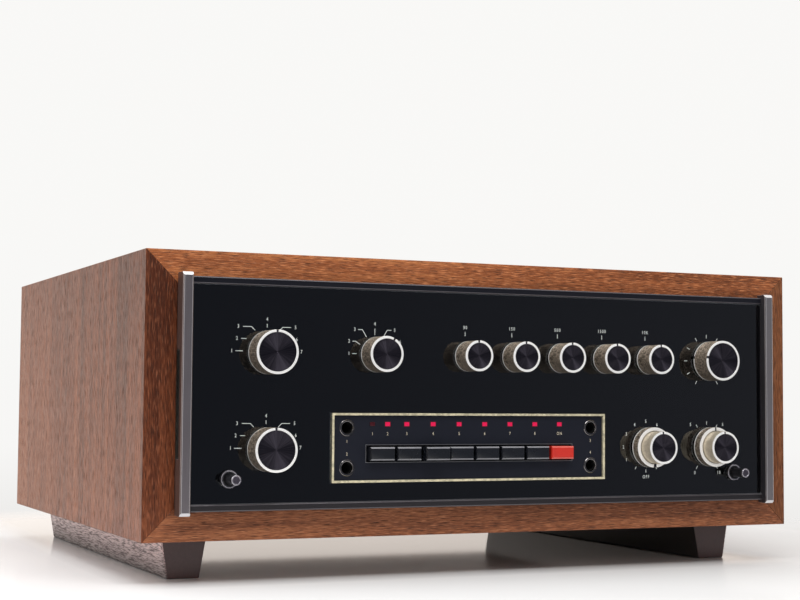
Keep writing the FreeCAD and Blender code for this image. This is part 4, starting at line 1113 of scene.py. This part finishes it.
def screw_heads(name, places, size, body, stands_for=()):
    """Screw heads of this radius and height, at (point, outward direction)."""
    radius, height = size
    shape = bmesh.new()
    for point, outward in places:
        before = set(shape.verts)
        bmesh.ops.create_cone(shape, cap_ends=True, segments=SCREW_STEPS * 2, radius1=radius,
                              radius2=radius, depth=height / 2,
                              matrix=Matrix.Translation((0, 0, height / 4)))
        for side in (-1, 1):
            half_disc(shape, radius, height / 2, height, side)
        made = [vert for vert in shape.verts if vert not in before]
        facing = Vector(outward).to_track_quat("Z", "Y").to_matrix().to_4x4()
        bmesh.ops.transform(shape, matrix=Matrix.Translation(point) @ facing, verts=made)
    mesh = finished(shape, name)
    smooth_by_angle(mesh)
    add_piece(name, mesh, [nickel], body, stands_for)


# %% Screws in their places
def islands(node):
    """The lowest and the highest corner of each separate solid in a node."""
    shape = solid_copy(node)
    reached = set()
    found = []
    for first in shape.verts:
        group = [] if first in reached else [first]
        reached.add(first)
        for vert in group:  # The list grows while the loop walks through it.
            near = {link.other_vert(vert) for link in vert.link_edges} - reached
            reached |= near
            group += near
        if group:
            found.append([Vector([pick(vert.co[axis] for vert in group) for axis in range(3)])
                          for pick in (min, max)])
    shape.free()
    return found


def screw_places(node, inward=False):
    """Each screw's foot and the way it faces, from the thin direction of its solid."""
    middle = (Vector(cad_box[0]) + Vector(cad_box[1])) / 2
    places = []
    for low, high in islands(node):
        size = high - low
        axis = min(range(3), key=lambda a: size[a])
        foot = (low + high) / 2
        outward = 1 if (foot[axis] > middle[axis]) != inward else -1
        foot[axis] = low[axis] if outward > 0 else high[axis]
        direction = Vector((0, 0, 0))
        direction[axis] = outward
        places.append((foot, direction))
    return places


screw_heads("cover_screw_heads", screw_places("cover_screws"), COVER_SCREW, "unit",
            ["cover_screws"])
screw_heads("bracket_screw_heads", screw_places("bracket_screws", inward=True), COVER_SCREW, "cabinet",
            ["bracket_screws"])

# %% [markdown]
# ## Back
#
# The rear panel is painted, and its fittings are turned or moulded: two rows of phono
# sockets, two outlets, a fuse holder, the gland of the power cord, a ground post and a block
# of screw terminals.

# %% Rear panel and moulded fittings
softened("rear_panel", "painted_rear_panel", rear_paint, 0.15 * MM)
softened("power_outlets", "moulded_outlets", black_plastic, 0.5 * MM, 3)
softened("speaker_terminals", "moulded_terminal_block", black_plastic, 0.3 * MM)

# %% [markdown]
# A phono socket is a nickel sleeve round a coloured insulator, with the hole for the centre pin
# in the middle painted near black as shade. The upper row is white and the lower red, for the
# two channels.

# %% Phono sockets
SOCKETS = 8
SOCKET_PITCH = 19.0 * MM
SOCKET_RISE = 26.0 * MM
SLEEVE = 4.15
FLANGE = SLEEVE + 1.6


def socket_strip():
    low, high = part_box("socket_strip")
    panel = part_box("rear_panel")[0].y
    shape = bmesh.new()
    bar(shape, low, (high.x, panel, high.z))
    add_piece("socket_plate", finished(shape, "socket_plate"), [black_plastic], "unit",
              ["socket_strip"])
    middle, reach = (low + high) / 2, (high.y - panel) / MM
    profile = [(0, 4, 2), (1.55, 4, 2), (1.6, 0.6, 2), (1.75, 0.3, 1), (2.9, 0.3, 1), (3.1, 0.6, 1),
               (3.15, 0.2, 0), (3.35, 0, 0), (SLEEVE - 0.3, 0, 0), (SLEEVE, 0.3, 0),
               (SLEEVE, reach - 1.9, 0), (SLEEVE + 1.5, reach - 1.8, 0), (FLANGE, reach - 1.4, 0),
               (FLANGE, reach - 1.25, 0), (0, reach - 1.25, 0)]
    for row, side, insulator in (("upper", 1, white_insulator), ("lower", -1, red_insulator)):
        for n in range(SOCKETS):
            x = middle.x + (n - (SOCKETS - 1) / 2) * SOCKET_PITCH
            turn_piece("phono_socket_%s_%d" % (row, n + 1), profile, 48,
                       [nickel, insulator, painted_hollow_shade], "unit",
                       (x, high.y, middle.z + side * SOCKET_RISE / 2), FACING_BACK)


socket_strip()

# %% [markdown]
# The fuse cap is ribbed for the fingers, the cord's gland is a rounded bush, and the ground
# post has a knurled nut. All three are turned like the knobs.

# %% Fuse cap, gland and ground post
def rear_turned(node, name, finishes, steps, profile, hollow=0.0):
    """A turned fitting on the back, from its tip at depth 0. A share of it may be hollow."""
    low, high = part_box(node)
    length = (high.y - low.y) / MM
    start = [(0, length * hollow, 1), (profile[0][0] - 0.1, length * hollow, 1)] if hollow else []
    profile = start + profile + [(profile[-1][0], length, 0), (0, length, 0)]
    turn_piece(name, profile, steps, finishes, "unit",
               ((low.x + high.x) / 2, high.y, (low.z + high.z) / 2), FACING_BACK, [node])


rear_turned("fuse_holder", "ribbed_fuse_holder", [black_plastic], 48, [
    (0, 0.5, 0), (3.0, 0.5, 0), (3.2, 0, 0), (6.2, 0, 0), (7.1, 0.8, 0), (7.4, 1.2, 0, 0.35),
    (7.5, 7.2, 0, 0.35), (7.6, 7.6, 0), (7.6, 9.0, 0), (6.2, 9.0, 0)])
# The gland's hollow takes the near black of painted shade.
rear_turned("cord_gland", "moulded_cord_gland", [black_plastic, painted_hollow_shade], 64, [
    (3.4, 0.9, 0), (4.0, 0.1, 0), (5.2, 0, 0), (6.6, 1.1, 0), (7.2, 3.0, 0), (8.0, 3.4, 0),
    (8.0, 5.0, 0), (6.0, 5.0, 0)], hollow=0.6)
rear_turned("ground_post", "knurled_ground_post", [nickel], 56, [
    (0, 0, 0), (1.6, 0, 0), (2.0, 0.4, 0), (2.0, 4.0, 0), (4.6, 4.0, 0), (5.2, 4.5, 0),
    (5.3, 5.0, 0, 0.3), (5.3, 9.6, 0, 0.3), (4.4, 10.2, 0), (4.4, 12.0, 0), (2.0, 12.0, 0)])

# %% Terminal screws
TERMINALS = 4
TERMINAL_PITCH = 12.0 * MM


def terminal_places():
    low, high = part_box("speaker_terminals")
    for n in range(TERMINALS):
        x = (low.x + high.x) / 2 + (n - (TERMINALS - 1) / 2) * TERMINAL_PITCH
        yield (x, high.y - 5.0 * MM, (low.z + high.z) / 2), (0, 1, 0)


screw_heads("terminal_screw_heads", terminal_places(), TERMINAL_SCREW, "unit")

# %% [markdown]
# ## Inside
#
# The parts inside show only when the unit is taken apart, so their solids keep their shape
# and take a finish each.

# %% Dress the inner parts
INSIDE = {"selector_switches": black_plastic, "rotary_controls": nickel,
          "switch_bank": black_plastic, "main_board": board_green,
          "filter_capacitors": blue_sleeve, "power_transformer": laminations}
for node, finish in INSIDE.items():
    dress(node, finish)

# %% [markdown]
# ## Studio
#
# The object stands on a white table against white. The table is polished, and where no light
# falls on it, under the cabinet, it shows the backdrop as a mirror does. In front the light
# drowns that, so there its gloss is turned down. The table is a disc of half a metre, so that
# the backdrop begins at the same height from every side, and its rim fades into it.

# %% Table
TABLE_RADIUS = 0.51
TABLE_FADE = 0.12
TABLE_STEPS = 180
MIRROR_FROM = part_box("cabinet_bottom")[0].y + 0.025
MIRROR_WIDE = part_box("cabinet_bottom")[1].x - 0.020


def table_top():
    shape = bmesh.new()
    bmesh.ops.create_circle(shape, cap_ends=True, radius=TABLE_RADIUS, segments=TABLE_STEPS)
    table = bpy.data.objects.new("table_top", finished(shape, "table_top"))
    bpy.context.scene.collection.objects.link(table)
    finish = Finish("white_table", Roughness=0.6, Specular_IOR_Level=0.1, Coat_Roughness=0.07)
    grime = finish.noise(finish.place(), 9, 4, 0.6)
    across, depth = (finish.part(finish.place(), axis) for axis in "XY")
    left_tone = finish.mixed(grime, (0.85, 0.845, 0.845), (0.89, 0.885, 0.88))
    painted_shade_right = finish.mixed(grime, (0.70, 0.695, 0.69), (0.74, 0.735, 0.73))
    # The table's colour darkens towards the right: painted shade.
    finish.feed("Base Color", finish.mixed(finish.between(across, -0.22, 0.16), left_tone, painted_shade_right))
    under = finish.between(depth, MIRROR_FROM - 0.04, MIRROR_FROM)
    under = under * finish.between((across * across) ** 0.5, MIRROR_WIDE + 0.03, MIRROR_WIDE)
    finish.feed("Coat Weight", 0.10 + under * 0.90)
    reach = (across * across + depth * depth) ** 0.5
    finish.feed("Alpha", finish.between(reach, TABLE_RADIUS, TABLE_RADIUS - TABLE_FADE))
    table.data.materials.append(finish.material)
    print("table:", tuple(table.dimensions))


table_top()

# %% [markdown]
# The world is seen in three ways. The camera, and rays through the glass, see a white backdrop
# that greys a little towards the table. Polished surfaces see white behind and beside the
# object and a dark room in front of it, which keeps the glass black. Everything else gets
# one even light.

# %% World
BACKDROP = [(0.14, (0.855, 0.847, 0.831)), (0.32, (0.930, 0.925, 0.913)), (0.95, (0.945, 0.940, 0.925))]
ROOM = [(0.02, (0.090, 0.100, 0.130)), (0.10, (0.145, 0.155, 0.188)), (0.34, (0.34, 0.34, 0.34)),
        (0.50, (0.84, 0.78, 0.73)), (0.96, (1.00, 0.90, 0.82))]
EVEN_LIGHT = (0.80, 0.80, 0.80)


def studio_world():
    world = bpy.data.worlds.new("white_studio")
    bpy.context.scene.world = world
    world.use_nodes = True
    graph = Graph(world.node_tree)
    towards = graph.node("TexCoord", {}, {}, "Generated")
    rise = graph.between(graph.part(towards, "Z"), -0.10, 0.12)
    back = graph.between(graph.part(towards, "Y"), -1, 1)
    camera, through, mirrored = (graph.node("LightPath", {}, {}, "Is %s Ray" % kind)
                                 for kind in ("Camera", "Transmission", "Glossy"))
    backdrop = graph.node("ValToRGB", {"stops": BACKDROP}, {"Fac": rise})
    room = graph.node("ValToRGB", {"stops": ROOM}, {"Fac": back})
    seen = graph.node("Math", {"operation": "MAXIMUM"}, {0: camera, 1: through})
    colour = graph.mixed(seen, graph.mixed(mirrored, EVEN_LIGHT, room), backdrop)
    graph.plug(graph.tree.nodes["Background"].inputs["Color"], colour)
    print("world:", len(graph.tree.nodes), "nodes")


studio_world()

# %% [markdown]
# Three soft lamps: one high on the left gives the side its sheen, one above and in front
# lights the panel but stays out of what the glass mirrors, and one overhead fills.

# %% Lamps
LAMPS = {"left_softbox": ((-1.5, -0.3, 1.0), (0, 0, 0.1), (1.2, 1.0), 9),
         "front_softbox": ((-0.1, -1.1, 1.5), (0, -0.15, 0.08), (1.5, 0.5), 15),
         "overhead_softbox": ((0.1, 0.2, 1.6), (0, 0, 0.1), (1.6, 1.2), 6)}

for name, (at, towards, size, power) in LAMPS.items():
    lamp = bpy.data.lights.new(name, "AREA")
    lamp.shape = "RECTANGLE"
    lamp.size, lamp.size_y = size
    lamp.energy = power
    holder = bpy.data.objects.new(name, lamp)
    holder.location = at
    holder.rotation_euler = (Vector(towards) - Vector(at)).to_track_quat("-Z", "Y").to_euler()
    bpy.context.scene.collection.objects.link(holder)
    print("%s: %d W" % (name, power))

# %% [markdown]
# ## Camera
#
# The camera stands to the left of the middle and a little below the top edge, and looks to
# the right and slightly up. Its place and its angles come from matching known corners of the
# front panel and the cabinet with the picture.

# %% Camera
PLACE = (-0.4618, -1.0587, 0.1061)
YAW, PITCH, ROLL = (math.radians(angle) for angle in (-24.112, 3.551, 0.425))

camera_data = bpy.data.cameras.new("camera")
camera_data.lens = 72.45
camera_data.sensor_width = 36.0
camera = bpy.data.objects.new("camera", camera_data)
turn = Matrix.Rotation(YAW, 4, "Z") @ Matrix.Rotation(math.pi / 2 + PITCH, 4, "X")
camera.matrix_world = Matrix.Translation(PLACE) @ turn @ Matrix.Rotation(ROLL, 4, "Z")
bpy.context.scene.collection.objects.link(camera)
bpy.context.scene.camera = camera
bpy.context.scene.view_settings.view_transform = "Standard"
print("camera at", PLACE)

# %% [markdown]
# ## Sizes
#
# The solids' box is printed. The dressed model has to stay inside the solids' box.

# %% Print the solids' box
print("solids' box", cad_box)
